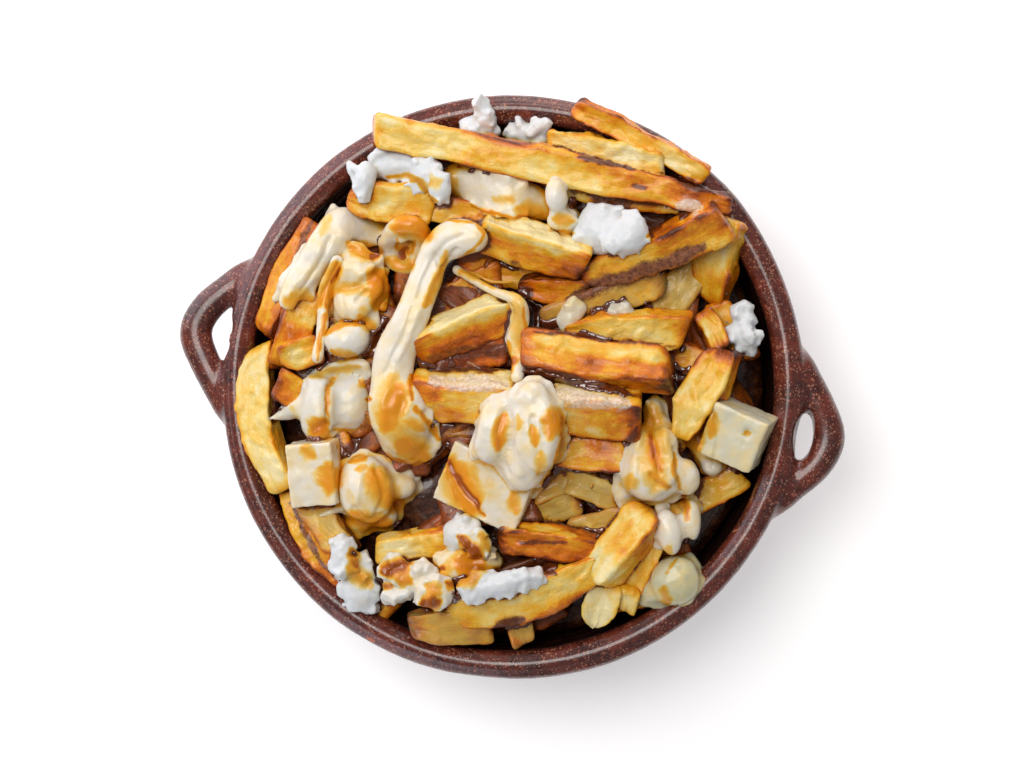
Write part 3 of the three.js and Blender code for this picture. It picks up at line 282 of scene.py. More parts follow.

# Browning, skin and gravy on the fries, as strokes seen in the picture: kind, half width,
# strength and path. Kinds: a is amber or browner, p is paler, s is skin, k is a rough crust and
# g is gravy. A few pale strokes are painted highlights: gloss strips on amber_slab, crust_wedge
# and glazed_south.
FRY_PAINT = [
    ("a", 1.1, 0.5, [(-14, 76.2), (0, 73.3), (12, 70.3), (24, 68)]),
    ("g", 0.8, 0.5, [(-2, 73.6), (8, 71.6), (14, 70)]),
    ("a", 1.8, 0.25, [(-20, 69), (-10, 70.5), (2, 69), (10, 66)]),
    ("a", 5, 0.1, [(-38, 76), (0, 70), (40, 62)]),
    # painted highlight: the pink gloss strip along crust_wedge's front
    ("p", 2.5, 0.2, [(-20, -4), (-4, -7)]),
    ("p", 1.8, 0.2, [(5, 67), (14, 65.3)]),
    ("a", 1.6, 0.3, [(22, 66), (38, 62.5), (46, 60.5)]),
    ("g", 1.2, 1, [(21, 69), (28, 67), (38, 65)]),
    ("g", 0.8, 0.8, [(45, 63), (52, 62), (57, 60.5)]),
    ("a", 3, 0.5, [(48, 58), (67, 54)]),
    ("a", 5, 0.25, [(-30, -72), (-5, -71)]),
    ("g", 1.2, 0.9, [(37, 60), (42, 58.6)]),
    ("g", 1, 0.75, [(-18.5, 66), (-16, 68)]),
    ("g", 0.6, 0.55, [(-2, 64.5), (4, 61.5), (13, 60)]),
    ("a", 1, 0.35, [(20, 55), (38, 53.5)]),
    ("a", 3, 0.35, [(40, 52), (45, 51)]),
    ("g", 1.5, 0.9, [(18.5, 56), (20.5, 53.5)]),
    ("p", 3, 0.2, [(18, 61), (28, 58)]),
    ("p", 3, 0.15, [(24, 73), (38, 69)]),
    ("a", 1.5, 0.25, [(40, 66), (45, 64)]),
    ("p", 2.5, 0.3, [(46, 67), (54, 63)]),
    ("a", 2.2, 0.32, [(-8, 44.5), (2, 41), (12, 37), (22, 33)]),
    ("s", 2.6, 1, [(18, 25.6), (27, 29.8), (35, 32.6), (43, 35), (51, 37.6), (59, 42)]),
    ("p", 6, 0.22, [(66, 52), (64, 34)]),
    ("d", 6, 1, [(66, 50), (63, 30)]),
    ("g", 3.4, 0.82, [(-27, 7), (-10, 10.5), (2, 11.5)]),
    # painted highlight: the pinkish-white gloss strip along amber_slab's top
    ("p", 2.1, 0.55, [(8, 14.4), (20, 12.6), (34, 10.4), (47, 8)]),
    # painted highlight: the gloss strip along crust_wedge's front
    ("p", 1, 0.4, [(-20, -4.8), (-9, -6)]),
    ("d", 5, 1, [(46, -50), (54, -54)]),
    ("a", 2.6, 0.4, [(45, 46), (51, 46)]),
    ("g", 1.2, 0.85, [(41.5, 45), (46, 47.5)]),
    ("a", 1.8, 0.5, [(58, 49), (65, 48)]),
    ("k", 2.2, 1, [(51, 53.6), (58, 52.8)]),
    ("a", 1.8, 0.3, [(-46, 58), (-40, 56)]),
    ("a", 1.6, 0.2, [(-38, 52), (-26, 53)]),
    ("p", 1.6, 0.25, [(-38, 60), (-28, 61)]),
    ("g", 0.6, 0.5, [(-47, 56), (-40, 51.5), (-33, 50.6)]),
    ("a", 2, 0.4, [(-59, 46), (-64, 36)]),
    ("s", 1, 0.8, [(-60, 50), (-66, 36), (-71, 25)]),
    ("a", 2.6, 0.35, [(-70, 22), (-66, 14)]),
    ("p", 2, 0.3, [(-62, 21), (-60, 18)]),
    ("g", 0.6, 0.5, [(-64.5, 24), (-58.5, 24.5), (-57.5, 18), (-62, 15.5)]),
    ("a", 3, 0.35, [(-70, 2), (-68, -5)]),
    ("p", 3, 0.3, [(-68, 8), (-62, 9)]),
    ("p", 6, 0.08, [(-76, 14), (-78, 0), (-70, -26)]),
    ("a", 1.5, 0.25, [(-70, -14), (-67, -22), (-66, -29)]),
    ("g", 2.5, 1, [(4.5, 29), (7, 26.8)]),
    ("a", 2, 0.36, [(-22, 11), (-6, 16.5), (4, 21)]),
    ("p", 3, 0.5, [(-22, 17), (-8, 23), (0, 26)]),
    ("p", 3, 0.5, [(-6, 49), (8, 45), (20, 41)]),
    ("g", 0.9, 0.6, [(-1, 19.5), (2, 23)]),
    ("g", 0.8, 0.9, [(4, 16.6), (20, 15.2), (34, 13.2), (52, 11.7)]),
    ("g", 1.5, 0.35, [(6, 14), (25, 12.5), (44, 11)]),
    ("a", 2, 0.15, [(28, 7), (38, 4), (46, 5)]),
    ("a", 4, 0.12, [(8, 6), (26, 4), (46, 0)]),
    ("p", 2.5, 0.2, [(8, -8.5), (24, -9.5), (38, -11)]),
    # painted highlight: the pink band along amber_slab's lower ridge
    ("p", 1.2, 0.3, [(22, 3), (35, 0.5), (47, -3)]),
    ("g", 0.9, 0.8, [(25, 0), (35, -1.8), (44, -5)]),
    ("p", 1.6, 0.2, [(8, 9.5), (14, 8)]),
    ("g", 1.6, 1, [(5, 5), (12, 4), (20, 1.5), (30, -1), (36, -2.5)]),
    ("g", 1.2, 1, [(-24, 5), (-12, 5.2), (-1, 4.8)]),
    ("k", 3, 0.8, [(-23, 1.5), (-10, 1), (0, 0)]),
    ("k", 3, 0.8, [(8, -1.5), (22, -3.6), (36, -5.5)]),
    ("a", 2.6, 0.5, [(-28, 1.5), (-22, -3)]),
    ("g", 0.8, 0.5, [(-23, -4), (-14, -5.2), (-6, -6)]),
    ("a", 2, 0.35, [(-22, -8), (-14, -9)]),
    ("p", 1.8, 0.3, [(-18, -14), (-12, -14.5)]),
    ("a", 3, 0.25, [(20, -10), (38, -8)]),
    ("g", 1.8, 0.8, [(36, -12.5), (39.5, -9)]),
    ("p", 1.4, 0.5, [(24, -13.2), (29.5, -14.5)]),
    ("p", 0.9, 0.5, [(31.5, -11), (32.5, -11.3)]),
    ("g", 0.6, 0.5, [(16, -6.5), (22, -8.2), (30, -6.6), (38, -4.6)]),
    ("a", 2.5, 0.25, [(24, -18), (33, -20)]),
    ("p", 1.6, 0.3, [(17, -18), (23, -19.5)]),
    ("g", 1.7, 0.95, [(35, -18), (39, -13)]),
    ("a", 1.8, 0.5, [(30, -23), (33, -27)]),
    ("a", 2, 0.25, [(50, 18), (54, 13)]),
    ("g", 0.8, 0.6, [(44, 12.6), (52, 11)]),
    ("a", 2.8, 0.45, [(64, 11), (66, 7)]),
    ("a", 1.5, 0.25, [(63, 5), (60, -4)]),
    ("p", 2, 0.25, [(55, 5), (52, -2)]),
    ("p", 1, 0.3, [(59, 20), (60, 15)]),
    ("p", 2.2, 0.3, [(67, 49.5), (70, 48)]),
    ("a", 1.8, 0.4, [(62, 48), (63, 45)]),
    # painted highlight: the cream-white line along glazed_south's top
    ("p", 1, 0.6, [(-1, -43), (5, -42), (14, -43.5), (20, -45)]),
    ("g", 1, 0.85, [(3, -46.6), (18, -47)]),
    ("a", 1, 0.45, [(8, -70), (22, -61.5), (27, -54), (30, -48)]),
    ("g", 2.8, 1, [(9, -52), (14, -56)]),
    ("g", 2.6, 1, [(-4, -72.5), (4, -70)]),
    ("p", 3, 0.25, [(0, -64), (20, -59)]),
    ("a", 1.4, 0.5, [(29, -55), (33, -51), (37.5, -44)]),
    ("p", 4, 0.3, [(24, -60), (33, -52)]),
    ("p", 4, 0.2, [(26, -72), (29, -60)]),
    ("a", 1.2, 0.5, [(28, -53), (33, -46), (37, -40)]),
    ("a", 1, 0.3, [(38, -50), (42, -45)]),
    ("g", 1.8, 0.95, [(-38, -53.5), (-30, -53)]),
    ("a", 2, 0.25, [(-28, -48), (-20, -49)]),
    ("s", 2.4, 1, [(-31, -67), (-33, -72), (-30, -76)]),
    ("a", 2, 0.35, [(-27, -73), (-24, -75)]),
    ("s", 0.8, 0.9, [(-66, -35), (-60, -48), (-53, -58)]),
    ("a", 1.2, 0.4, [(-63, -38), (-56, -50)]),
    ("g", 2.6, 0.9, [(-50, -20), (-43, -16)]),
    ("g", 1.8, 0.8, [(1, 37.5), (4, 36)]),
    ("g", 2, 0.7, [(-30, -44), (-34, -41)]),
]

# Stains and gravy on the cheese: a is amber and g is gravy.
CHEESE_PAINT = [
    ("a", 2, 0.55, [(-48, 42.5), (-43, 40), (-39, 41)]),
    ("g", 0.8, 0.8, [(-42, 38.8), (-38.5, 39.8)]),
    ("a", 2, 0.6, [(-52, 37), (-54, 32), (-56, 27), (-58, 25)]),
    ("g", 0.7, 0.55, [(-51.5, 36), (-54, 31.5)]),
    ("a", 3, 0.5, [(-67, 26), (-60, 25.5)]),
    ("a", 1.5, 0.3, [(-54, 52), (-57, 46)]),
    ("a", 1.5, 0.45, [(-52, 29), (-46, 30), (-41, 28)]),
    ("a", 3.2, 0.8, [(-41, 34), (-37, 29), (-40, 25)]),
    ("a", 1.4, 0.55, [(-45, 21), (-40, 17)]),
    ("g", 0.9, 0.6, [(-57, 15), (-53, 17.5), (-50, 19.3), (-44, 19.6)]),
    ("g", 0.7, 0.6, [(-58, 8), (-57.5, 13), (-56, 18), (-55, 25)]),
    ("a", 1.3, 0.55, [(-53, 11), (-51, 9), (-46, 9)]),
    ("a", 3, 0.75, [(-34, 48), (-30, 49.5), (-26, 48), (-24, 45.5)]),
    ("g", 1.2, 0.9, [(-32.3, 41.2), (-30.3, 41.6)]),
    ("g", 0.5, 0.5, [(-33.8, 45), (-33.6, 42), (-32, 40), (-29, 40.5), (-28.4, 44)]),
    ("a", 1.6, 0.55, [(-36, 38), (-32, 36), (-29, 37)]),
    ("g", 0.9, 0.6, [(-37, 63.5), (-31, 63.6), (-27, 62), (-25, 58), (-21.5, 55.5)]),
    ("a", 2, 0.4, [(-24, 61), (-21, 62)]),
    ("g", 1.1, 0.95, [(-15, 66), (-9.5, 68), (-3.5, 65)]),
    ("a", 2.6, 0.5, [(3, 53.5), (10, 51)]),
    ("a", 1.2, 0.35, [(-5, 56.5), (2, 56)]),
    ("g", 0.6, 0.65, [(-16, 57), (-8, 52.8), (-3, 51.4), (10, 49.8)]),
    ("g", 1.2, 0.8, [(42, 44.5), (45, 47), (43, 43.5)]),
    ("g", 0.6, 0.5, [(-20, 50), (-10, 49.5), (-7.3, 46), (-10, 41.5), (-15, 38)]),
    ("a", 1.3, 0.5, [(-19, 40), (-20, 35), (-25, 24)]),
    ("a", 3.4, 0.7, [(-33.5, -1), (-35, -7), (-37, -12.5)]),
    ("a", 4, 0.4, [(-35, 2), (-36, -8), (-31, -18)]),
    ("a", 4, 0.42, [(42, -8), (44, -20), (44, -30)]),
    ("a", 2, 0.35, [(-4, 32), (3, 28), (3, 10)]),
    ("a", 3.2, 0.62, [(-33, -17), (-28, -19.5), (-25, -21)]),
    ("a", 1.6, 0.5, [(-31, -11), (-26, -13)]),
    ("g", 0.6, 0.55, [(-38, -19.5), (-34, -22.5), (-28, -24), (-22, -22.5)]),
    ("g", 1, 0.6, [(-28, -6), (-24, -11), (-21, -16)]),
    ("g", 0.8, 0.7, [(-29, 4), (-30, 0), (-29, -4)]),
    ("g", 0.6, 0.6, [(-52, 3.5), (-54.6, 0), (-54.8, -5), (-54.4, -9)]),
    ("a", 2.6, 0.85, [(-59, -14), (-56, -11)]),
    ("g", 0.9, 0.8, [(-43, -4), (-42, -4)]),
    ("a", 1.1, 0.65, [(-45, 2), (-43.5, 0)]),
    ("g", 0.7, 0.55, [(-52, -13.5), (-46, -13.6), (-42, -11)]),
    ("a", 1, 0.4, [(-60, 3), (-53, 5.2), (-45, 5.5)]),
    ("a", 1.2, 0.25, [(-66, -6), (-64, -10)]),
    ("a", 3, 0.62, [(-54.5, -24), (-54.5, -31)]),
    ("a", 1.6, 0.5, [(-63, -18), (-59, -21)]),
    ("a", 3, 0.62, [(-41, -25), (-38.5, -31), (-34.5, -36)]),
    ("a", 2.4, 0.62, [(-47.5, -38), (-42, -42), (-36, -41)]),
    ("g", 0.9, 0.6, [(-48, -22.5), (-43, -21)]),
    ("a", 1, 0.45, [(-46, -25), (-43, -24)]),
    ("g", 1.8, 0.75, [(-47.5, -49.5), (-46, -54)]),
    ("a", 2, 0.6, [(-48, -55), (-44, -58), (-42, -60)]),
    ("g", 2.2, 0.95, [(-38, -56), (-30, -53)]),
    ("a", 2, 0.75, [(-33, -58), (-30, -58.5)]),
    ("g", 1, 0.8, [(-38, -60), (-35, -60.5)]),
    ("a", 1.8, 0.65, [(-24, -60), (-21, -62)]),
    ("g", 2.2, 0.95, [(-26, -66), (-21, -64.5)]),
    ("g", 1, 0.85, [(-21, -54.5), (-19.5, -55)]),
    ("a", 3, 0.8, [(-15, -53), (-8, -54)]),
    ("a", 2, 0.75, [(-15, -58), (-9, -57)]),
    ("g", 1.3, 0.85, [(-19, -59), (-15, -60)]),
    ("g", 1.7, 0.95, [(-14.5, -45.5), (-12, -48), (-8, -51)]),
    ("a", 1.5, 0.55, [(-8, -44), (-6, -49)]),
    ("a", 1.5, 0.75, [(-1, -9), (-3, -14), (-3, -18.5)]),
    ("a", 2.3, 0.7, [(11, -10), (14, -9.5), (13, -15)]),
    ("a", 1.2, 0.6, [(7, -12), (8.5, -18)]),
    ("a", 1, 0.4, [(3, -9), (3, -13)]),
    ("g", 0.6, 0.6, [(16, -9), (16, -17), (14, -24), (10, -29)]),
    ("a", 1.5, 0.4, [(10, -20), (9, -26)]),
    ("a", 3.6, 0.7, [(-17, -23), (-11, -37)]),
    ("g", 0.8, 0.8, [(-19, -21), (-14.5, -29), (-9.5, -35), (-7.5, -39)]),
    ("a", 1.7, 0.5, [(1.5, -32), (2.5, -38)]),
    ("a", 1.5, 0.4, [(-11, -24), (-10, -29)]),
    ("a", 1.5, 0.85, [(42.8, -14.5), (43.2, -20), (45.8, -25.5)]),
    ("g", 0.6, 0.7, [(43, -15), (43.4, -21)]),
    ("a", 1.1, 0.6, [(42.5, -26), (44.5, -28.5), (48, -30)]),
    ("g", 0.6, 0.55, [(49.5, -20), (50, -26), (52, -31)]),
    ("a", 2, 0.4, [(37, -27), (36, -31)]),
    ("a", 2, 0.45, [(43, -6), (45, -11)]),
    ("g", 1.2, 0.7, [(52.4, -33), (53.6, -37), (54, -40)]),
    ("a", 1.3, 0.4, [(49, -48), (47, -50)]),
    ("a", 1.1, 0.5, [(46, -60), (48, -65)]),
    ("g", 0.6, 0.45, [(51, -51), (47, -56)]),
    ("a", 1.5, 0.5, [(61.5, -8.5), (60.5, -15)]),
    ("a", 1, 0.55, [(71.5, -14), (71.6, -14.6)]),
    ("a", 1.2, 0.5, [(-15, 35), (-5, 31), (2, 31)]),
    ("g", 1, 0.65, [(2, 9), (1.5, 6)]),
    ("g", 0.5, 0.5, [(5, 24), (5.3, 16), (5, 10)]),
    ("a", 0.9, 0.6, [(0, 13), (1, 4)]),
    ("g", 0.6, 0.5, [(15, 46.5), (20, 45.7)]),
    ("a", 1.5, 0.5, [(14, 50), (19, 49)]),
    ("a", 1.6, 0.5, [(57, -9), (57, -19)]),
]

# Fries that stay dry although they lie low
FRY_PAINT += [
    ("d", 6, 1, [(46, 22), (51, 29), (57, 36)]),
    ("d", 3, 1, [(60, 21), (66, 18)]),
    ("d", 3, 0.8, [(0, 31), (16, 33)]),
    ("d", 5, 0.8, [(-38, 27), (-36, 34)]),
    ("d", 5, 0.8, [(-62, 40), (-64, 30)]),
    ("d", 9, 1, [(52, 26), (62, 16), (58, 8)]),
    ("d", 7, 0.9, [(-56, 36), (-52, 22)]),
    ("d", 6, 0.9, [(-40, 24), (-42, 36)]),
]

# How the melted cheese folds, seen in the picture: half width, height (grooves go below) and path.
CHEESE_FOLDS = [
    (0.8, -0.9, [(-52, 3.5), (-54.6, 0), (-54.8, -5), (-54.4, -10), (-52.5, -13)]),
    (1.4, 0.8, [(-60, 2), (-55, 5.5), (-48, 7), (-43, 6)]),
    (1.3, -0.8, [(-59, -13), (-55, -11.5)]),
    (1.3, 0.9, [(-6, -4), (-7.5, -12), (-9.5, -20)]),
    (1, -0.9, [(-1.5, -8), (-3, -14), (-2, -20), (0, -26)]),
    (1.5, 0.8, [(2, -4), (3, -14), (3.5, -26)]),
    (0.9, -0.8, [(7, -9), (7.5, -15), (9, -20)]),
    (1.6, 0.8, [(11, -5), (13.5, -14), (11.5, -23)]),
    (0.8, -0.8, [(43, -10), (43.3, -18), (45.5, -26)]),
    (1.3, 0.8, [(46.5, -10), (47.5, -18), (49, -27), (45, -31.5)]),
    (0.8, -0.8, [(49.8, -19), (50.5, -26), (51.5, -32)]),
    (1.2, 0.7, [(40, -13), (38, -22), (37, -30)]),
    (0.7, -0.7, [(42.5, -26.5), (45, -29), (49, -30.5)]),
    (0.8, -0.7, [(-48, 42), (-43, 39.8), (-38, 40)]),
    (1.6, 0.7, [(-50, 46), (-44, 44.5), (-38, 43.5)]),
    (0.9, -0.8, [(-51.5, 38), (-54, 32), (-58, 25)]),
    (1.2, 0.6, [(-57, 42), (-62, 34), (-67, 28)]),
    (0.7, -0.6, [(-54, 45), (-58.5, 36), (-63, 29)]),
    (1.2, 0.6, [(-49, 37), (-51, 29), (-50, 22)]),
    (0.8, -0.6, [(-52, 29), (-46, 30), (-40, 34)]),
    (1, 0.6, [(-45, 33.5), (-39, 37)]),
    (0.7, -0.6, [(-46, 26), (-43, 28.5)]),
    (0.8, -0.8, [(-16, 41), (-20, 36), (-22, 40)]),
    (1.6, 0.7, [(-36, 2), (-38.5, -8), (-36, -17), (-29, -22)]),
    (1.4, -0.7, [(-32, -4), (-33, -12), (-27, -16)]),
    (0.9, -0.7, [(-25, -8), (-22, -14)]),
    (0.6, -0.5, [(-38, -20), (-33, -23.5), (-26, -23.8)]),
    (0.8, -0.6, [(-12, 46.5), (-19, 43), (-24, 36), (-27, 27)]),
    (0.9, 0.5, [(-20, 38), (-24, 29), (-29, 18), (-33, 8)]),
    (0.7, -0.5, [(-28.5, 24), (-33, 13), (-38, 3)]),
    (0.8, -0.9, [(-19, -21), (-14.5, -29), (-9.5, -35), (-7.5, -39)]),
    (0.8, -0.7, [(-18.7, -24), (-13.5, -38)]),
    (1, -0.7, [(-40, -25), (-37.5, -32), (-40, -40)]),
    (0.9, -0.7, [(-47, -37), (-42, -40.5), (-37, -39)]),
    (1, 0.6, [(-45, -26), (-46, -35)]),
    (0.7, -0.6, [(60, -25), (62.5, -16), (61.5, -8)]),
    (1.2, -1, [(71.5, -14), (71.7, -14.5)]),
]

# Melted cheese that has run out over the fries: node and its sections as [right, up, half width,
# half height].
RUN_OUT = [
    ("cheese_web_west", [(-53, 55, 0.7, 1), (-52.4, 51.5, 2.8, 2), (-51, 47, 5, 2.4), (-50, 43, 5, 2.2)]),
    ("cheese_web_west", [(-50, 45, 5, 2.4), (-57, 40.5, 5, 2.3), (-63, 34, 4.4, 2), (-68, 29.5, 3, 1.7),
                         (-71, 26.5, 1.2, 1)]),
    ("cheese_web_west", [(-49, 46, 4, 2.4), (-43, 46, 4, 2.4), (-37, 45, 3.2, 2)]),
    ("cheese_web_west", [(-58, 37, 4, 2), (-60.5, 31, 3, 1.7), (-60, 27, 2, 1.3)]),
    ("cheese_patch_west", [(-45, 41, 4, 2), (-46.5, 34, 6.5, 2.2), (-46.5, 27, 6.5, 2.2), (-47, 20, 5, 2)]),
    ("cheese_patch_west", [(-45, 36, 3, 1.8), (-41, 37.5, 2.4, 1.5), (-38, 38, 1.6, 1.2)]),
    ("cheese_patch_west", [(-49, 30, 3, 2), (-44, 31, 3, 1.7), (-40, 33, 2.4, 1.5), (-37, 35, 1.6, 1.2)]),
    ("cheese_patch_west", [(-44, 22, 3, 1.6), (-41, 18.5, 2.8, 1.5), (-43, 15.5, 1.6, 1.2)]),
    ("cheese_rib_west", [(-52, 36, 2, 1.5), (-54, 30, 2, 1.5), (-54.5, 22, 1.8, 1.4)]),
    ("curd_pair_west", [(-60.5, 1, 1.8, 1.5), (-56, 4.7, 2, 1.7), (-50, 6.6, 2, 1.7),
                        (-44.5, 6.5, 1.8, 1.5), (-42, 3.5, 1.4, 1.2)]),
    ("curd_pair_west", [(-62, -6, 3.6, 2), (-66, -7.5, 2.7, 1.6), (-70, -9, 1.5, 1.1),
                        (-73, -9.7, 0.5, 0.6)]),
    ("curd_pair_west", [(-58, -14, 3, 2.2), (-54, -13.6, 2.2, 2)]),
    ("cheese_ribbon", [(-25, -8, 3, 2), (-24.5, -13, 4.6, 2.5), (-26, -18, 4.6, 2.4), (-30, -20, 3.6, 2.2)]),
    ("cheese_drop_centre", [(-3, -4, 1.6, 1.4), (-6, -11, 2.2, 1.7), (-8.3, -17.5, 2, 1.5),
                            (-9, -21.5, 1.2, 1.1)]),
    ("cheese_drop_centre", [(11, -5, 3.6, 2), (13, -12, 3.6, 2), (12.5, -19, 3.4, 2), (9, -26, 3, 1.8)]),
    ("cheese_drop_centre", [(5, -1, 3, 2), (4, -7, 8, 2.6), (3.5, -15, 10, 2.8), (5, -22, 9, 2.6),
                            (6, -29, 5, 2)]),
    ("cheese_strip_north", [(-17, 62, 3, 1.8), (-8, 59.5, 6.4, 2.4), (2, 56.5, 6.4, 2.4),
                            (12, 53.5, 4, 1.8)]),
    ("curd_pearl_north", [(15.2, 60, 2, 1.6), (15.5, 54, 2.6, 2), (17, 49.6, 4.4, 1.8)]),
    ("curd_drop_east", [(42, -5, 1.5, 1.3), (43.3, -10, 2.3, 1.7), (43, -16, 4, 2.2)]),
    ("curd_drop_east", [(47, -6, 1, 1), (47.3, -12, 1.8, 1.4), (48, -19, 2.6, 1.8)]),
    ("curd_drop_east", [(33.6, -34.4, 0.7, 0.8), (36, -32, 2.2, 1.5), (40, -31, 3, 2)]),
    ("curd_white_north_west", [(-47, 66.5, 1.2, 1.2), (-45.3, 63.5, 2.3, 1.7), (-44.3, 60.5, 1.8, 1.4)]),
    ("curd_white_north_west", [(-20.8, 61.5, 2.4, 1.9), (-19.8, 57.5, 2, 1.5), (-21.5, 55.5, 0.9, 0.9)]),
    ("cheese_thread", [(-15.5, 34.3, 1.1, 0.9), (-11, 34.2, 0.8, 0.7), (-5, 31.4, 0.8, 0.7),
                       (2, 31.2, 0.7, 0.6)]),
    ("cheese_thread", [(1.5, 27, 1.4, 1), (1.6, 20, 1.2, 0.9), (0.2, 14, 1.2, 0.9), (2.2, 8, 0.9, 0.8)]),
    ("cheese_curl", [(-36, 39.5, 2.2, 1.8), (-34, 36.6, 2.2, 1.8), (-30.5, 35.6, 2.1, 1.8),
                     (-27.6, 37.6, 2.2, 1.8)]),
    ("cheese_curl", [(-31.5, 46, 2, 1.8), (-31, 43.4, 2, 1.8)]),
    ("curd_south_west", [(-57, -39, 0.7, 0.7), (-54, -38, 1.1, 0.9), (-50.5, -37, 1.4, 1.2)]),
]


def seen_at(place, z):
    """The point at height z on the line of sight through a place in the picture."""
    eye_x = EYE_DISTANCE * math.sin(EYE_TILT) * math.cos(EYE_SIDE)
    eye_y = EYE_DISTANCE * math.sin(EYE_TILT) * math.sin(EYE_SIDE)
    eye_z = EYE_DISTANCE * math.cos(EYE_TILT)
    share = (z - DISH_HEIGHT) / eye_z
    return np.array((place[0] + (eye_x - place[0]) * share, place[1] + (eye_y - place[1]) * share, z))


def in_picture(points):
    """Where points of the food lie in the picture, at the level of the rim."""
    eye_x = EYE_DISTANCE * math.sin(EYE_TILT) * math.cos(EYE_SIDE)
    eye_y = EYE_DISTANCE * math.sin(EYE_TILT) * math.sin(EYE_SIDE)
    eye_z = EYE_DISTANCE * math.cos(EYE_TILT)
    share = (points[:, 2] - DISH_HEIGHT) / eye_z
    right = (points[:, 0] - eye_x * share) / (1 - share)
    up = (points[:, 1] - eye_y * share) / (1 - share)
    return np.stack((right, up), axis=1)


def smooth_step(low, high, value):
    """Rises from 0 at low to 1 at high with no kink."""
    share = np.clip((value - low) / (high - low), 0, 1)
    return share * share * (3 - 2 * share)

LATTICE_SIDE = 32
LATTICE = np.random.default_rng(5).random((LATTICE_SIDE,) * 3) * 2 - 1
TILT = np.array(Matrix.Rotation(0.9, 3, Vector((1, 2, 3))))


def rough(points, size, seed, octaves=2):
    """Soft noise from about -1 to 1 at each point, with bumps of the given size."""
    place = np.asarray(points, dtype=float) / size + seed * np.array((7.31, 3.17, 5.73))
    total, weight, strength = 0, 0, 1
    for _ in range(octaves):
        place = place @ TILT
        cell = np.floor(place)
        share = place - cell
        share = share * share * (3 - 2 * share)
        low = cell.astype(int) % LATTICE_SIDE
        high = (low + 1) % LATTICE_SIDE
        value = 0
        for i, j, k in np.ndindex(2, 2, 2):
            picked = [np.where(side, high[:, axis], low[:, axis]) for axis, side in enumerate((i, j, k))]
            part = [share[:, axis] if side else 1 - share[:, axis] for axis, side in enumerate((i, j, k))]
            value = value + LATTICE[picked[0], picked[1], picked[2]] * part[0] * part[1] * part[2]
        total = total + strength * value
        weight += strength
        strength *= 0.5
        place = place * 2.03
    return 1.5 * total / weight


# The map of heights


def dish_top(radius):
    """How high the inside of the dish and its rim stand at a distance from the axis."""
    share = np.clip((radius - 50) / (78.6 - 50), 0, None)
    inside = FLOOR_Z + (34 - FLOOR_Z) * share**2.2
    from_roll = radius - ROLL_CENTRE
    on_roll = ROLL_Z + np.sqrt(np.clip(ROLL_RADIUS**2 - from_roll**2, 0, None))
    top = np.where(from_roll > -ROLL_RADIUS, on_roll, inside)
    return np.where(radius > ROLL_CENTRE + ROLL_RADIUS, 0, top)


def core_top(x, y):
    """The bumpy crown of the fries that don't show."""
    share = np.minimum(1, np.hypot(x, y) / 78)
    bumps = 0.9 * np.sin(x * 0.21 + 1) * np.cos(y * 0.17) + 0.6 * np.sin((x - y) * 0.33)
    return CORE_EDGE_Z + (CORE_CROWN_Z - CORE_EDGE_Z) * (1 - share**2.6) + bumps * (1 - share**4)


class HeightMap:
    """A square map of how high the heap stands, which grows as each piece is laid."""

    def __init__(self):
        self.side = round(2 * HALF_MAP / CELL) + 1
        line = np.arange(self.side) * CELL - HALF_MAP
        self.x, self.y = np.meshgrid(line, line)
        radius = np.hypot(self.x, self.y)
        core = np.where(radius < 76, core_top(self.x, self.y), 0)
        self.heights = np.maximum(dish_top(radius), core)

    def at(self, x, y):
        column = int(np.clip(math.floor((x + HALF_MAP) / CELL + 0.5), 0, self.side - 1))
        row = int(np.clip(math.floor((y + HALF_MAP) / CELL + 0.5), 0, self.side - 1))
        return self.heights[row, column]

    def raise_to(self, top):
        """Raises the map to top, wherever top isn't nan."""
        self.heights = np.fmax(self.heights, top)


def skin_above(off, width, thick, roll):
    """How far a rolled bar's skin stands above its middle line, at a distance to one side."""
    beside = -off if roll < 0 else off
    turn = max(0.01, abs(roll))
    face = thick / 2 / math.cos(turn) + beside * math.tan(turn)
    flank = width / 2 / math.sin(turn) - beside / math.tan(turn)
    return np.minimum(face, flank)


class LaidFry:
    """A fry where it lies: its middle line, its section and its browning, partly painted shade."""

    def __init__(self, row):
        (self.name, start, end, self.width, self.thick, roll, self.start_scale, self.end_scale, self.bow,
         self.start_tone, self.end_tone, self.front_tone, self.skin) = row
        self.roll = math.radians(roll)
        self.a = seen_at(start, start[2])
        self.b = seen_at(end, end[2])
        along = self.b[:2] - self.a[:2]
        self.length = float(np.hypot(*along))
        self.across = np.array((-along[1], along[0], 0)) / self.length

    def scale_at(self, s):
        start = self.start_scale + (1 - self.start_scale) * s * 3
        end = self.end_scale + (1 - self.end_scale) * (1 - s) * 3
        return np.minimum(1, np.minimum(start, end))

    def middle(self, s):
        s = np.asarray(s, dtype=float)[..., None]
        bend = self.bow * 4 * s * (1 - s)
        return self.a + (self.b - self.a) * s + self.across * bend

    def raise_map(self, heap):
        """The map under the fry rises to its skin."""
        half_wide = 0.5 * (self.width * math.cos(self.roll) + abs(self.thick * math.sin(self.roll)))
        along = (self.b - self.a)[:2]
        s = ((heap.x - self.a[0]) * along[0] + (heap.y - self.a[1]) * along[1]) / self.length**2
        inside = np.clip(s, 0, 1)
        centre = self.middle(inside)
        scale = self.scale_at(inside)
        off = ((heap.x - centre[..., 0]) * self.across[0] + (heap.y - centre[..., 1]) * self.across[1]) / scale
        top = centre[..., 2] + skin_above(off, self.width, self.thick, self.roll) * scale
        heap.raise_to(np.where((s < 0) | (s > 1) | (np.abs(off) > half_wide), np.nan, top))


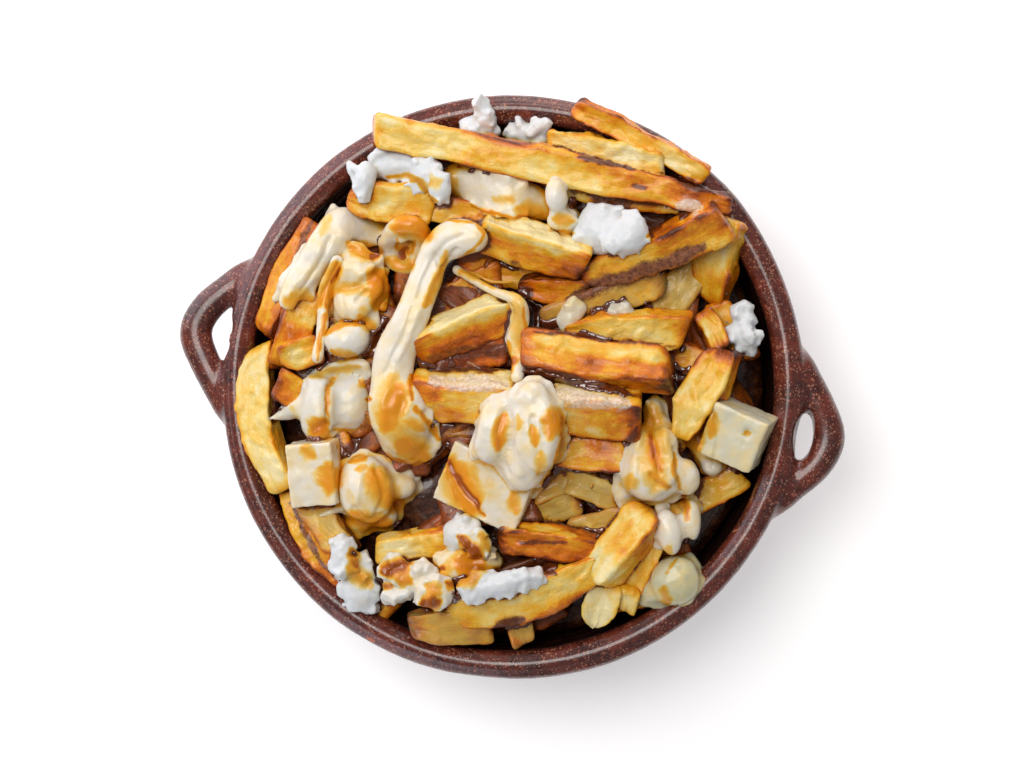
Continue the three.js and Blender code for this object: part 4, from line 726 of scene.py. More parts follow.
def ball_ground(heap, x, y, half_x, half_y, turn):
    """The highest of five places under a round part."""
    highest = 0
    for share_x, share_y in ((0, 0), (0.55, 0), (-0.55, 0), (0, 0.55), (0, -0.55)):
        px, py = share_x * half_x, share_y * half_y
        height = heap.at(x + px * math.cos(turn) - py * math.sin(turn), y + px * math.sin(turn) + py * math.cos(turn))
        highest = max(highest, height)
    return highest


def raise_ball(heap, centre, half_x, half_y, half_z, turn):
    dx, dy = heap.x - centre[0], heap.y - centre[1]
    ex = (dx * math.cos(turn) + dy * math.sin(turn)) / half_x
    ey = (-dx * math.sin(turn) + dy * math.cos(turn)) / half_y
    inside = 1 - ex * ex - ey * ey
    heap.raise_to(np.where(inside < 0, np.nan, centre[2] + half_z * np.sqrt(np.clip(inside, 0, None))))


def lay_lump(heap, parts):
    """Round parts that settle by themselves, as (middle, half sizes, turn)."""
    settle, hang = 0.62, 0.5
    places = []
    for right, up, lift, half_x, half_y, half_z, turn in parts:
        p = seen_at((right, up), DISH_HEIGHT + 6)
        angle = math.radians(turn)
        z = ball_ground(heap, p[0], p[1], half_x, half_y, angle) + half_z * settle + lift
        places.append([(right, up), z, (half_x, half_y, half_z), angle])
    for _ in places:
        for one in places:
            others = [other for other in places if other is not one]
            if others:
                nearest = min(others, key=lambda other: math.dist(one[0], other[0]))
                one[1] = max(one[1], nearest[1] - hang * (one[2][2] + nearest[2][2]))
    laid = []
    for at, z, halves, angle in places:
        centre = seen_at(at, z)
        raise_ball(heap, centre, *halves, angle)
        laid.append((centre, halves, angle))
    return laid


def lay_strand(heap, sections):
    """A strand that drapes section by section, and hangs between what holds it up."""
    hang = 0.8
    low = []
    for right, up, half_x, half_z in sections:
        p = seen_at((right, up), DISH_HEIGHT + 8)
        low.append(ball_ground(heap, p[0], p[1], half_x, half_x, 0) + half_z * 0.7)
    for _ in range(12):
        for k in range(1, len(low) - 1):
            low[k] = max(low[k], (low[k - 1] + low[k + 1]) / 2 - hang)
    laid = []
    for (right, up, half_x, half_z), z in zip(sections, low):
        centre = seen_at((right, up), z)
        raise_ball(heap, centre, half_x, half_x, half_z, 0)
        laid.append((centre, (half_x, half_x, half_z), 0))
    return laid


def lay_block(heap, shape):
    middle, size, turn, _ = shape
    angle = math.radians(turn)
    p = seen_at(middle, DISH_HEIGHT + 4)
    ground = ball_ground(heap, p[0], p[1], size[0] / 2, size[1] / 2, angle)
    centre = seen_at(middle, ground + size[2] / 2 - 1.5)
    raise_ball(heap, centre, size[0] * 0.56, size[1] * 0.56, size[2] / 2, angle)
    return [(centre, tuple(value / 2 for value in size), angle)]


LAY = {"lump": lay_lump, "strand": lay_strand, "block": lay_block}


def lay_heap():
    """Lays every fry and every piece of cheese, and gives where they come to lie."""
    heap = HeightMap()
    fries = []
    cheese = {}
    for row in FRIES:
        fry = LaidFry(row)
        fry.raise_map(heap)
        fries.append(fry)
        for node, after, kind, shape, _ in CHEESE:
            if after == fry.name:
                cheese[node] = LAY[kind](heap, shape)
    return fries, cheese


# Work with Blender's own tools


def deselect_all():
    for obj in bpy.context.view_layer.objects:
        obj.select_set(False)
    bpy.context.view_layer.objects.active = None


def only(obj):
    deselect_all()
    obj.select_set(True)
    bpy.context.view_layer.objects.active = obj


def finish_modifier(obj, kind, **values):
    """Adds one modifier with its values and applies it."""
    only(obj)
    modifier = obj.modifiers.new(kind.title(), kind)
    for name, value in values.items():
        setattr(modifier, name, value)
    bpy.ops.object.modifier_apply(modifier=modifier.name)


def join(objects, name):
    deselect_all()
    for obj in objects:
        obj.select_set(True)
    bpy.context.view_layer.objects.active = objects[0]
    bpy.ops.object.join()
    joined = bpy.context.view_layer.objects.active
    joined.name = name
    joined.data.name = name
    return joined


def points_of(obj):
    flat = np.empty(len(obj.data.vertices) * 3)
    obj.data.vertices.foreach_get("co", flat)
    return flat.reshape(-1, 3)


def normals_of(obj):
    flat = np.empty(len(obj.data.vertices) * 3)
    obj.data.vertices.foreach_get("normal", flat)
    return flat.reshape(-1, 3)


def move_points(obj, points):
    obj.data.vertices.foreach_set("co", points.ravel())
    obj.data.update()


def write_value(obj, name, values):
    """Keeps one number for each point of the mesh."""
    attribute = obj.data.attributes.new(name, "FLOAT", "POINT")
    attribute.data.foreach_set("value", np.asarray(values, dtype=np.float32))


def serve(points):
    """Turns food points from the picture's level to the row's, in metres."""
    c, s = math.cos(SERVING_TURN), math.sin(SERVING_TURN)
    turned = np.array(points, dtype=float) * MM
    x = turned[:, 0] * c - turned[:, 1] * s
    y = turned[:, 0] * s + turned[:, 1] * c
    return np.stack((x, y, turned[:, 2]), axis=1)


def unserve(points):
    """Turns points of the row back to the picture's level, in millimetres."""
    c, s = math.cos(SERVING_TURN), math.sin(SERVING_TURN)
    x = points[:, 0] * c + points[:, 1] * s
    y = -points[:, 0] * s + points[:, 1] * c
    return np.stack((x, y, points[:, 2]), axis=1) / MM


def add_mesh(name, points, faces):
    """A new object from its points and faces."""
    mesh = bpy.data.meshes.new(name)
    mesh.from_pydata([tuple(p) for p in points], [], faces)
    obj = bpy.data.objects.new(name, mesh)
    bpy.context.scene.collection.objects.link(obj)
    return obj


def painted(places, strokes, kind):
    """How strongly the strokes of one kind colour each place in the picture, from 0 to 1."""
    amount = np.zeros(len(places))
    low, high = places.min(axis=0), places.max(axis=0)
    for one, half, strength, path in strokes:
        line = np.array(path, dtype=float)
        apart = np.any(line.min(axis=0) - 3 * half > high) or np.any(line.max(axis=0) + 3 * half < low)
        if one != kind or apart:
            continue
        whole = sum(np.linalg.norm(b - a) for a, b in zip(line, line[1:]))
        done = 0
        for a, b in zip(line, line[1:]):
            off, share = distance_to(places, a, b)
            length = np.linalg.norm(b - a)
            to_end = np.minimum(done + share * length, whole - done - share * length)
            ends = np.clip(4 * to_end / whole, 0, 1)
            wide = half * (0.45 + 0.55 * np.sqrt(ends))
            core, reach = (0, 2.6) if one == "a" else (0.3, 1.7)
            amount = np.maximum(amount, strength * (1 - smooth_step(core * wide, reach * wide, off)))
            done += length
    return amount


def distance_to(places, a, b):
    """How far each place lies from the line between two points, and how far along it."""
    share = np.clip(((places - a) @ (b - a)) / ((b - a) @ (b - a)), 0, 1)
    return np.linalg.norm(places - (a + share[:, None] * (b - a)), axis=1), share


def blurred(values, radius):
    """A square map with each height averaged with those near it."""
    reach = math.ceil(3 * radius)
    kernel = np.exp(-0.5 * (np.arange(-reach, reach + 1) / radius) ** 2)
    kernel /= kernel.sum()
    padded = np.pad(values, reach, mode="edge")
    rows = np.apply_along_axis(lambda line: np.convolve(line, kernel, mode="valid"), 1, padded)
    return np.apply_along_axis(lambda line: np.convolve(line, kernel, mode="valid"), 0, rows)


def spread(values, steps, take):
    """Each cell takes the highest, or the lowest, of the cells round it."""
    for step in range(steps):
        padded = np.pad(values, 1, mode="edge")
        near = [padded[1:-1, 1:-1], padded[:-2, 1:-1], padded[2:, 1:-1], padded[1:-1, :-2], padded[1:-1, 2:]]
        if step % 2:
            near += [padded[:-2, :-2], padded[:-2, 2:], padded[2:, :-2], padded[2:, 2:]]
        values = take.reduce(near)
    return values


class TopMap:
    """A fine map of how high the finished pieces stand, seen from above."""

    def __init__(self, names):
        points, corners, base = [], [], 0
        for name in names:
            mesh = bpy.data.objects[name].data
            mesh.calc_loop_triangles()
            triangles = np.empty(len(mesh.loop_triangles) * 3, dtype=np.int32)
            mesh.loop_triangles.foreach_get("vertices", triangles)
            points.append(unserve(points_of(bpy.data.objects[name])))
            corners.append(triangles.reshape(-1, 3) + base)
            base += len(mesh.vertices)
        tree = BVHTree.FromPolygons(np.concatenate(points).tolist(), np.concatenate(corners).tolist(),
                                    all_triangles=True)
        side = round(2 * TOP_REACH / TOP_CELL) + 1
        self.line = np.arange(side) * TOP_CELL - TOP_REACH
        self.heights = np.full((side, side), float(FLOOR_Z))
        down = Vector((0, 0, -1))
        for row, y in enumerate(self.line):
            for column, x in enumerate(self.line):
                if x * x + y * y < TOP_REACH**2:
                    hit = tree.ray_cast(Vector((x, y, 120)), down)[0]
                    if hit is not None:
                        self.heights[row, column] = hit.z
        self.bridged = self.closed(4)

    def closed(self, radius):
        """The map with its narrow gaps bridged."""
        steps = round(radius / TOP_CELL)
        return blurred(spread(spread(self.heights, steps, np.maximum), steps, np.minimum), 1.2 / TOP_CELL)

    def read(self, values, points):
        """What a map says at each point."""
        column = np.clip(np.rint((points[:, 0] + TOP_REACH) / TOP_CELL).astype(int), 0, len(self.line) - 1)
        row = np.clip(np.rint((points[:, 1] + TOP_REACH) / TOP_CELL).astype(int), 0, len(self.line) - 1)
        return values[row, column]

    def rest(self, place):
        """Where something laid at a place in the picture comes to lie on the bridged heap."""
        z = DISH_HEIGHT + 8
        for _ in range(2):
            z = float(self.read(self.bridged, seen_at(place, z)[None])[0])
        return seen_at(place, z)


# Materials


class Nodes:
    """Adds and links the nodes of one material."""

    def __init__(self, name):
        self.material = bpy.data.materials.new(name)
        self.material.use_nodes = True
        self.tree = self.material.node_tree
        self.shader = self.tree.nodes["Principled BSDF"]
        self.coordinates = self.tree.nodes.new("ShaderNodeTexCoord").outputs["Object"]

    def link(self, source, target):
        self.tree.links.new(source, target)

    def put(self, value, socket):
        if isinstance(value, bpy.types.NodeSocket):
            self.link(value, socket)
        else:
            socket.default_value = value

    def attribute(self, name, output="Fac"):
        node = self.tree.nodes.new("ShaderNodeAttribute")
        node.attribute_name = name
        return node.outputs[output]

    def noise(self, size, detail=3, roughness=0.55, distortion=0, vector=None):
        """Noise whose blobs are about size millimetres across."""
        node = self.tree.nodes.new("ShaderNodeTexNoise")
        node.inputs["Scale"].default_value = 1 / (size * MM)
        node.inputs["Detail"].default_value = detail
        node.inputs["Roughness"].default_value = roughness
        node.inputs["Distortion"].default_value = distortion
        self.link(vector or self.coordinates, node.inputs["Vector"])
        return node.outputs["Fac"]

    def cells(self, size, randomness=1, output="Distance", feature="F1"):
        node = self.tree.nodes.new("ShaderNodeTexVoronoi")
        node.feature = feature
        node.inputs["Scale"].default_value = 1 / (size * MM)
        node.inputs["Randomness"].default_value = randomness
        self.link(self.coordinates, node.inputs["Vector"])
        return node.outputs[output]

    def math(self, operation, first, second=0.0):
        node = self.tree.nodes.new("ShaderNodeMath")
        node.operation = operation
        self.put(first, node.inputs[0])
        self.put(second, node.inputs[1])
        return node.outputs[0]

    def between(self, low, high, value, to_low=0.0, to_high=1.0):
        node = self.tree.nodes.new("ShaderNodeMapRange")
        node.interpolation_type = "SMOOTHSTEP"
        self.put(value, node.inputs["Value"])
        for name, number in zip(("From Min", "From Max", "To Min", "To Max"), (low, high, to_low, to_high)):
            node.inputs[name].default_value = number
        return node.outputs["Result"]

    def mix(self, share, first, second, blend="MIX"):
        node = self.tree.nodes.new("ShaderNodeMix")
        node.data_type = "RGBA"
        node.blend_type = blend
        self.put(share, node.inputs["Factor"])
        self.put(first, node.inputs[6])
        self.put(second, node.inputs[7])
        return node.outputs[2]

    def blend(self, share, first, second):
        """Goes from one number to another."""
        node = self.tree.nodes.new("ShaderNodeMix")
        self.put(share, node.inputs[0])
        self.put(first, node.inputs[2])
        self.put(second, node.inputs[3])
        return node.outputs[0]

    def ramp(self, value, stops):
        node = self.tree.nodes.new("ShaderNodeValToRGB")
        elements = node.color_ramp.elements
        while len(elements) < len(stops):
            elements.new(0.5)
        for element, (position, colour) in zip(elements, stops):
            element.position = position
            element.color = colour
        self.put(value, node.inputs["Fac"])
        return node.outputs["Color"]

    def bump(self, height, distance, strength=1.0, normal=None):
        node = self.tree.nodes.new("ShaderNodeBump")
        node.inputs["Distance"].default_value = distance * MM
        node.inputs["Strength"].default_value = strength
        self.link(height, node.inputs["Height"])
        if normal:
            self.link(normal, node.inputs["Normal"])
        return node.outputs["Normal"]


def colour(red, green, blue):
    """A linear colour from the screen's 0 to 255."""
    def linear(value):
        share = value / 255
        return share / 12.92 if share <= 0.04045 else ((share + 0.055) / 1.055) ** 2.4
    return (linear(red), linear(green), linear(blue), 1)



def add_gravy(nodes, base, stain, gravy, raggedness, clear, depth):
    """Thin gravy warms what is under it, and thick gravy hides it."""
    settings = bpy.context.scene.poutine_gravy
    ragged = nodes.math("MULTIPLY", nodes.math("SUBTRACT", nodes.noise(1.9, 4, 0.6), 0.5), raggedness)
    fine = nodes.math("MULTIPLY", nodes.math("SUBTRACT", nodes.noise(0.5, 3, 0.6), 0.5), raggedness * 0.4)
    ragged = nodes.math("ADD", ragged, fine)
    soaked = nodes.math("ADD", nodes.math("ADD", stain, nodes.math("MULTIPLY", gravy, 0.9)), ragged)
    thin = nodes.between(0.04, 0.62, soaked)
    thick = nodes.between(0.45, 1.08, nodes.math("ADD", gravy, nodes.math("MULTIPLY", ragged, 0.8)), 0, 0.9)
    filters = [(share, (*(channel**share for channel in settings.amber), 1)) for share in (0, 0.25, 0.5, 0.75, 1)]
    through = nodes.ramp(nodes.between(0.05, 0.68, soaked, 0, depth), filters)
    warmed = nodes.mix(1.0, base, through, "MULTIPLY")
    browned = nodes.mix(clear, colour(106, 58, 28), (*settings.caramel, 1))
    warmed = nodes.mix(nodes.between(clear * 0.2 + 0.42, clear * 0.2 + 1, soaked), warmed, browned)
    deep = nodes.mix(clear * 0.6, (*settings.dark, 1), (*settings.caramel, 1))
    return nodes.mix(thick, warmed, deep), thin, thick


def fry_material():
    nodes = Nodes("fried_potato")
    settings = bpy.context.scene.poutine_fries
    cut = nodes.attribute("cut", "Vector")
    streaks = nodes.math("SUBTRACT", nodes.noise(2.4, 5, 0.62, 0.6, cut), 0.5)
    mottle = nodes.math("SUBTRACT", nodes.noise(5.5, 4, 0.6), 0.5)
    grain = nodes.math("SUBTRACT", nodes.noise(0.55, 4, 0.65), 0.5)
    browned = nodes.attribute("tone")
    for part, strength in ((streaks, 0.58), (mottle, 0.46), (grain, 0.3)):
        browned = nodes.math("ADD", browned, nodes.math("MULTIPLY", part, strength))
    base = nodes.ramp(browned, [
        (0.0, (*settings.pale, 1)),
        (0.2, (*settings.straw, 1)),
        (0.42, (*settings.golden, 1)),
        (0.66, (*settings.orange, 1)),
        (0.88, (*settings.brown, 1)),
        (1.0, colour(86, 36, 10)),
    ])
    # the olive tint on the low fries is partly painted shade of the depth
    olive = nodes.math("MULTIPLY", nodes.attribute("olive"), nodes.between(0.25, 0.6, nodes.noise(6, 2)))
    base = nodes.mix(nodes.math("MULTIPLY", olive, 0.6), base, colour(186, 156, 84))
    torn = nodes.math("ADD", nodes.math("MULTIPLY", mottle, 0.8), grain)
    skin = nodes.between(0.2, 0.9, nodes.math("ADD", nodes.attribute("skin"), torn))
    base = nodes.mix(skin, base, nodes.mix(nodes.between(0.3, 0.7, nodes.noise(1.3, 5, 0.7)),
                                           colour(84, 42, 26), colour(156, 98, 62)))
    # a rough crust, coloured pale lavender-white: partly its own colour and partly a painted reflection
    crumb = nodes.math("ADD", nodes.attribute("crust"), nodes.math("MULTIPLY", streaks, 1.6))
    crust = nodes.math("MULTIPLY", nodes.between(0.3, 0.8, crumb), 0.8)
    base = nodes.mix(crust, base, nodes.mix(nodes.between(0.38, 0.62, nodes.noise(0.9, 5, 0.75)),
                                            colour(202, 178, 140), colour(238, 226, 214)))
    base, thin, thick = add_gravy(nodes, base, nodes.attribute("stain"), nodes.attribute("gravy"), 0.6, 0.1, 0.36)
    shader = nodes.shader
    nodes.link(base, shader.inputs["Base Color"])
    wet = nodes.math("MAXIMUM", thick, nodes.math("MULTIPLY", thin, 0.6))
    dry_roughness = nodes.between(0.3, 0.7, nodes.noise(1.8, 3), 0.26, 0.46)
    nodes.link(nodes.blend(wet, dry_roughness, 0.1), shader.inputs["Roughness"])
    shader.inputs["Subsurface Weight"].default_value = 0.15
    shader.inputs["Subsurface Radius"].default_value = (1.0, 0.5, 0.2)
    shader.inputs["Subsurface Scale"].default_value = 0.0015
    shader.inputs["Specular IOR Level"].default_value = 0.3
    shader.inputs["Coat Weight"].default_value = 0.3
    shader.inputs["Coat Roughness"].default_value = 0.12
    blisters = nodes.bump(nodes.cells(1.5, feature="SMOOTH_F1"), 0.22, 0.5)
    pores = nodes.bump(nodes.noise(0.6, 4, 0.65), 0.3, 0.6, blisters)
    nodes.link(nodes.bump(nodes.noise(1.5, 4, 0.62, 0.8, cut), 0.7, 0.6, pores), shader.inputs["Normal"])
    return nodes.material


def cheese_material():
    nodes = Nodes("cheese")
    settings = bpy.context.scene.poutine_cheese
    white = nodes.attribute("white")
    base = nodes.mix(nodes.between(0.2, 0.95, white), (*settings.melted, 1), (*settings.curd, 1))
    base = nodes.mix(nodes.math("MULTIPLY", nodes.attribute("lemon"), 0.75), base, (*settings.lemon, 1))
    warm = nodes.math("MULTIPLY", nodes.between(0.36, 0.78, nodes.noise(6.5, 4, 0.55)), 0.6)
    warm = nodes.math("MULTIPLY", warm, nodes.between(1.0, 0.6, white))
    base = nodes.mix(warm, base, colour(243, 212, 122))
    base, thin, thick = add_gravy(nodes, base, nodes.attribute("stain"), nodes.attribute("gravy"), 0.2, 0.8, 1)
    shader = nodes.shader
    nodes.link(base, shader.inputs["Base Color"])
    dry_roughness = nodes.between(0.3, 1.0, white, 0.26, 0.45)
    nodes.link(nodes.blend(thick, dry_roughness, 0.1), shader.inputs["Roughness"])
    shader.inputs["Specular IOR Level"].default_value = 0.35
    shader.inputs["Subsurface Weight"].default_value = 0.24
    shader.inputs["Subsurface Radius"].default_value = (1.0, 0.75, 0.45)
    shader.inputs["Subsurface Scale"].default_value = 0.002
    shader.inputs["Coat Weight"].default_value = 0.25
    shader.inputs["Coat Roughness"].default_value = 0.14
    pulled = nodes.bump(nodes.noise(2.2, 4, 0.6), 0.35, 0.35)
    nodes.link(nodes.bump(nodes.noise(0.6, 4, 0.6), 0.15, 0.4, pulled), shader.inputs["Normal"])
    return nodes.material


def pool_gravy_and_shade_material():
    nodes = Nodes("gravy")
    settings = bpy.context.scene.poutine_gravy
    # the browns are partly the gravy's own colour and partly painted shade for the gaps the pools fill
    shade = nodes.noise(4, 4)
    base = nodes.mix(nodes.between(0.4, 0.7, shade), (*settings.dark, 1), colour(122, 58, 20))
    shader = nodes.shader
    nodes.link(base, shader.inputs["Base Color"])
    nodes.link(nodes.between(0.2, 0.8, nodes.noise(3, 2), 0.06, 0.16), shader.inputs["Roughness"])
    shader.inputs["Coat Weight"].default_value = 0.9
    shader.inputs["Coat Roughness"].default_value = 0.05
    shader.inputs["Coat IOR"].default_value = 1.7
    nodes.link(nodes.bump(nodes.noise(2.5, 3), 0.3, 0.4), shader.inputs["Normal"])
    return nodes.material


def soaked_shade_material():
    nodes = Nodes("soaked_potato_shade")
    # near black where the gaps are deepest: partly gravy-soaked potato and partly painted shade of the heap's depth
    base = nodes.ramp(nodes.noise(4, 5, 0.65), [
        (0.3, colour(26, 11, 7)), (0.52, colour(66, 30, 14)), (0.75, colour(120, 70, 28))])
    shader = nodes.shader
    nodes.link(base, shader.inputs["Base Color"])
    nodes.link(nodes.between(0.3, 0.7, nodes.noise(3, 2), 0.12, 0.4), shader.inputs["Roughness"])
    shader.inputs["Coat Weight"].default_value = 0.5
    shader.inputs["Coat Roughness"].default_value = 0.1
    nodes.link(nodes.bump(nodes.noise(2.5, 5), 0.8, 0.7), shader.inputs["Normal"])
    return nodes.material


def glaze_material():
    nodes = Nodes("brown_glaze")
    settings = bpy.context.scene.poutine_dish
    shade = nodes.noise(7, 6, 0.65)
    base = nodes.mix(nodes.between(0.34, 0.66, shade), (*settings.glaze_dark, 1), (*settings.glaze, 1))
    mottle = nodes.between(0.45, 0.7, nodes.noise(1.1, 5, 0.75))
    base = nodes.mix(nodes.math("MULTIPLY", mottle, 0.5), base, colour(126, 66, 48))
    pits = nodes.between(0.5, 0.66, nodes.noise(0.9, 4, 0.7, 0.3))
    base = nodes.mix(nodes.math("MULTIPLY", pits, 0.55), base, colour(30, 13, 10))
    # painted shade: the inner wall and floor, in the dish's own shadow, are painted almost black
    inside = nodes.attribute("inside")
    base = nodes.mix(nodes.math("MULTIPLY", inside, 0.88), base, colour(26, 13, 10))
    outside = nodes.math("SUBTRACT", 1.0, inside)
    for size, low, high, tint in ((1.3, 0.46, 0.58, (190, 118, 92)), (0.75, 0.44, 0.6, (214, 162, 134))):
        specks = nodes.between(0.36, 0.2, nodes.cells(size))
        rare = nodes.between(low, high, nodes.noise(size * 3.1, 3))
        share = nodes.math("MULTIPLY", nodes.math("MULTIPLY", specks, rare), nodes.math("MULTIPLY", outside, 0.6))
        base = nodes.mix(share, base, colour(*tint))
    bare = nodes.attribute("bare")
    bare = nodes.between(0.35, 0.65, nodes.math("ADD", bare, nodes.math("MULTIPLY", nodes.math(
        "SUBTRACT", nodes.noise(1.6, 4), 0.5), 0.8)))
    base = nodes.mix(bare, base, colour(190, 92, 50))
    shader = nodes.shader
    nodes.link(base, shader.inputs["Base Color"])
    matte = nodes.between(0.35, 0.7, nodes.noise(3, 4), 0.22, 0.42)
    nodes.link(nodes.blend(bare, matte, 0.6), shader.inputs["Roughness"])
    shader.inputs["Specular IOR Level"].default_value = 0.3
    shader.inputs["Coat Weight"].default_value = 0.6
    shader.inputs["Coat Roughness"].default_value = 0.17
    shader.inputs["Coat IOR"].default_value = 1.6
    ripples = nodes.bump(nodes.noise(5, 3), 0.55, 0.5)
    nodes.link(nodes.bump(nodes.noise(0.8, 4, 0.6), 0.16, 0.6, ripples), shader.inputs["Normal"])
    return nodes.material


# The dish


def dish_profile():
    """The dish's outline from the middle of its foot, up the outside and down the inside."""
    def through(knots, steps):
        """A smooth line through the knots."""
        points = [Vector(k) for k in knots]
        line = []
        for k in range(len(points) - 1):
            before = points[max(0, k - 1)]
            after = points[min(len(points) - 1, k + 2)]
            for step in range(steps):
                t = step / steps
                a, b = points[k], points[k + 1]
                line.append(0.5 * (2 * a + (b - before) * t + (2 * before - 5 * a + 4 * b - after) * t * t
                                   + (3 * a - before - 3 * b + after) * t**3))
        line.append(points[-1])
        return [tuple(p) for p in line]

    outside = through([(FOOT_RADIUS, 0), (67.5, 4), (77.5, 15), (83.4, 27), (NECK_RADIUS, 37)], 8)
    inside = through([(79.2, ROLL_Z - 1), (78.6, 34), (75, 20), (66, 9.5), (50, FLOOR_Z)], 8)
    roll = []
    for k in range(22):
        angle = math.pi * (-0.3 + 1.25 * k / 21)
        roll.append((ROLL_CENTRE + ROLL_RADIUS * math.cos(angle), ROLL_Z + ROLL_RADIUS * math.sin(angle)))
    return [(0, 0), (30, 0), *outside, *roll, *inside, (25, FLOOR_Z), (0, FLOOR_Z)]


def spin_dish():
    """Extrudes one point along the outline and spins it about the axis."""
    outline = [Vector((r * MM, 0, z * MM)) for r, z in dish_profile()]
    deselect_all()
    bpy.ops.mesh.primitive_plane_add(size=0.001, location=(0, 0, 0))
    bowl = bpy.context.view_layer.objects.active
    bpy.ops.object.mode_set(mode="EDIT")
    bpy.ops.mesh.select_all(action="SELECT")
    bpy.ops.mesh.merge(type="CENTER")
    for start, end in zip(outline, outline[1:]):
        bpy.ops.mesh.extrude_region_move(TRANSFORM_OT_translate={"value": end - start})
    bpy.ops.mesh.select_all(action="SELECT")
    bpy.ops.mesh.spin(steps=160, angle=2 * math.pi, center=(0, 0, 0), axis=(0, 0, 1))
    bpy.ops.mesh.select_all(action="SELECT")
    bpy.ops.mesh.remove_doubles(threshold=0.00001)
    bpy.ops.mesh.normals_make_consistent(inside=False)
    bpy.ops.object.mode_set(mode="OBJECT")
    return bowl


def lug_strand(side):
    """A strand of clay that leaves the rim, rounds its tip and joins the rim again."""
    if side < 0:
        knots = [(80.4, -25), (87, -16.5), (94, -7), (98.6, 2), (96.4, 10), (89, 18.5), (80.4, 27)]
    else:
        knots = [(80.4, -27), (87, -18.5), (94.6, -9.5), (96.8, -1), (93, 7), (86.6, 16), (80.4, 25)]
    deselect_all()
    steps, sides = 48, 28
    points, faces = [], []
    for k in range(steps + 1):
        t = k / steps * (len(knots) - 1)
        i = min(len(knots) - 2, int(t))
        f = t - i
        p = [Vector((*knots[min(len(knots) - 1, max(0, i + j))], 0)) for j in (-1, 0, 1, 2)]
        place = 0.5 * (2 * p[1] + (p[2] - p[0]) * f + (2 * p[0] - 5 * p[1] + 4 * p[2] - p[3]) * f * f
                       + (3 * p[1] - p[0] - 3 * p[2] + p[3]) * f**3)
        along = 0.5 * ((p[2] - p[0]) + 2 * (2 * p[0] - 5 * p[1] + 4 * p[2] - p[3]) * f
                       + 3 * (3 * p[1] - p[0] - 3 * p[2] + p[3]) * f * f)
        across = Vector((-along.y, along.x, 0)).normalized()
        tip = math.exp(-((t - 3) / 0.9) ** 2)
        end = min(1, 0.62 + min(t, 6 - t) * 0.5)
        for i_side in range(sides):
            angle = 2 * math.pi * i_side / sides
            wide = LUG_HALF_WIDTH * end * (0.96 + 0.04 * tip)
            tall = LUG_HALF_HEIGHT * end
            q = place + across * wide * math.cos(angle) + Vector((0, 0, LUG_Z + tall * math.sin(angle)))
            points.append((q.x * side * MM, q.y * MM, q.z * MM))
    for k in range(steps):
        for i in range(sides):
            j = (i + 1) % sides
            a, b = k * sides, (k + 1) * sides
            faces.append((a + i, a + j, b + j, b + i))
    faces.append(tuple(range(sides))[::-1])
    faces.append(tuple(range(steps * sides, (steps + 1) * sides)))
    strand = add_mesh("lug", points, faces)
    only(strand)
    bpy.ops.object.mode_set(mode="EDIT")
    bpy.ops.mesh.select_all(action="SELECT")
    bpy.ops.mesh.normals_make_consistent(inside=False)
    bpy.ops.object.mode_set(mode="OBJECT")
    return strand


def lug_slot(side):
    """The tool that cuts the slot through a lug."""
    deselect_all()
    bpy.ops.mesh.primitive_cylinder_add(vertices=40, radius=1, depth=2, location=(0, 0, 0))
    slot = bpy.context.view_layer.objects.active
    points = points_of(slot)
    top = points[:, 2] > 0
    middle = np.where(top, 89.6, 88.6 if side < 0 else 90.2)
    x = side * middle + points[:, 0] * np.where(top, 3.1, 1.1)
    y = (2.6 if side < 0 else -1.4) + points[:, 1] * np.where(top, 9.5, 5)
    z = np.where(top, 46.5, 34.5)
    move_points(slot, np.stack((x, y, z), axis=1) * MM)
    return slot


def make_dish():
    bowl = spin_dish()
    for side in (-1, 1):
        strand, slot = lug_strand(side), lug_slot(side)
        finish_modifier(bowl, "BOOLEAN", operation="UNION", object=strand, solver="EXACT")
        finish_modifier(bowl, "BOOLEAN", operation="DIFFERENCE", object=slot, solver="EXACT")
        for tool in (strand, slot):
            bpy.data.objects.remove(tool)
    finish_modifier(bowl, "REMESH", mode="VOXEL", voxel_size=0.00106)
    finish_modifier(bowl, "SMOOTH", factor=0.5, iterations=4)
    points = points_of(bowl)
    radius = np.hypot(points[:, 0], points[:, 1]) / MM
    z = points[:, 2] / MM
    normals = normals_of(bowl)
    angle = np.arctan2(points[:, 1], points[:, 0])
    wall = smooth_step(6, 12, z) * (1 - smooth_step(38, 41, z))
    rings = 0.22 * np.sin(z * 2 * math.pi / 5.2 + 0.5 * np.sin(angle * 2)) * wall
    groove = -0.45 * np.exp(-(((radius - 86.3) / 0.9) ** 2)) * smooth_step(42, 45, z)
    ridge = -0.35 * np.exp(-(((radius - 81.6) / 0.8) ** 2)) * smooth_step(44, 46, z)
    hand = 0.35 * rough(points / MM, 24, 3, 2) * smooth_step(3, 10, z)
    points = points + normals * ((rings + groove + ridge + hand) * MM)[:, None]
    points[:, 2] = np.maximum(points[:, 2], 0)
    move_points(bowl, points)
    # the inner wall and floor below the rim, which the glaze darkens almost to black as painted shade
    inside = np.where((normals[:, 0] * points[:, 0] + normals[:, 1] * points[:, 1] < 0) & (radius < 82), 1.0, 0.0)
    inside = np.where((radius < 79) & (z > 4) & (normals[:, 2] > 0), 1.0, inside) * (1 - smooth_step(43, 46, z))
    write_value(bowl, "inside", inside)
    places = in_picture(unserve(points))
    bare = np.maximum(1 - np.linalg.norm(places - (-42, -77), axis=1) / 3, 0) * smooth_step(44, 46, z)
    write_value(bowl, "bare", bare)
    bowl.name = bowl.data.name = "glazed_dish"
    only(bowl)
    bpy.ops.object.shade_smooth()
    bowl.data.materials.append(glaze_material())
    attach(bowl, "root")
    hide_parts("dish")


# The fries


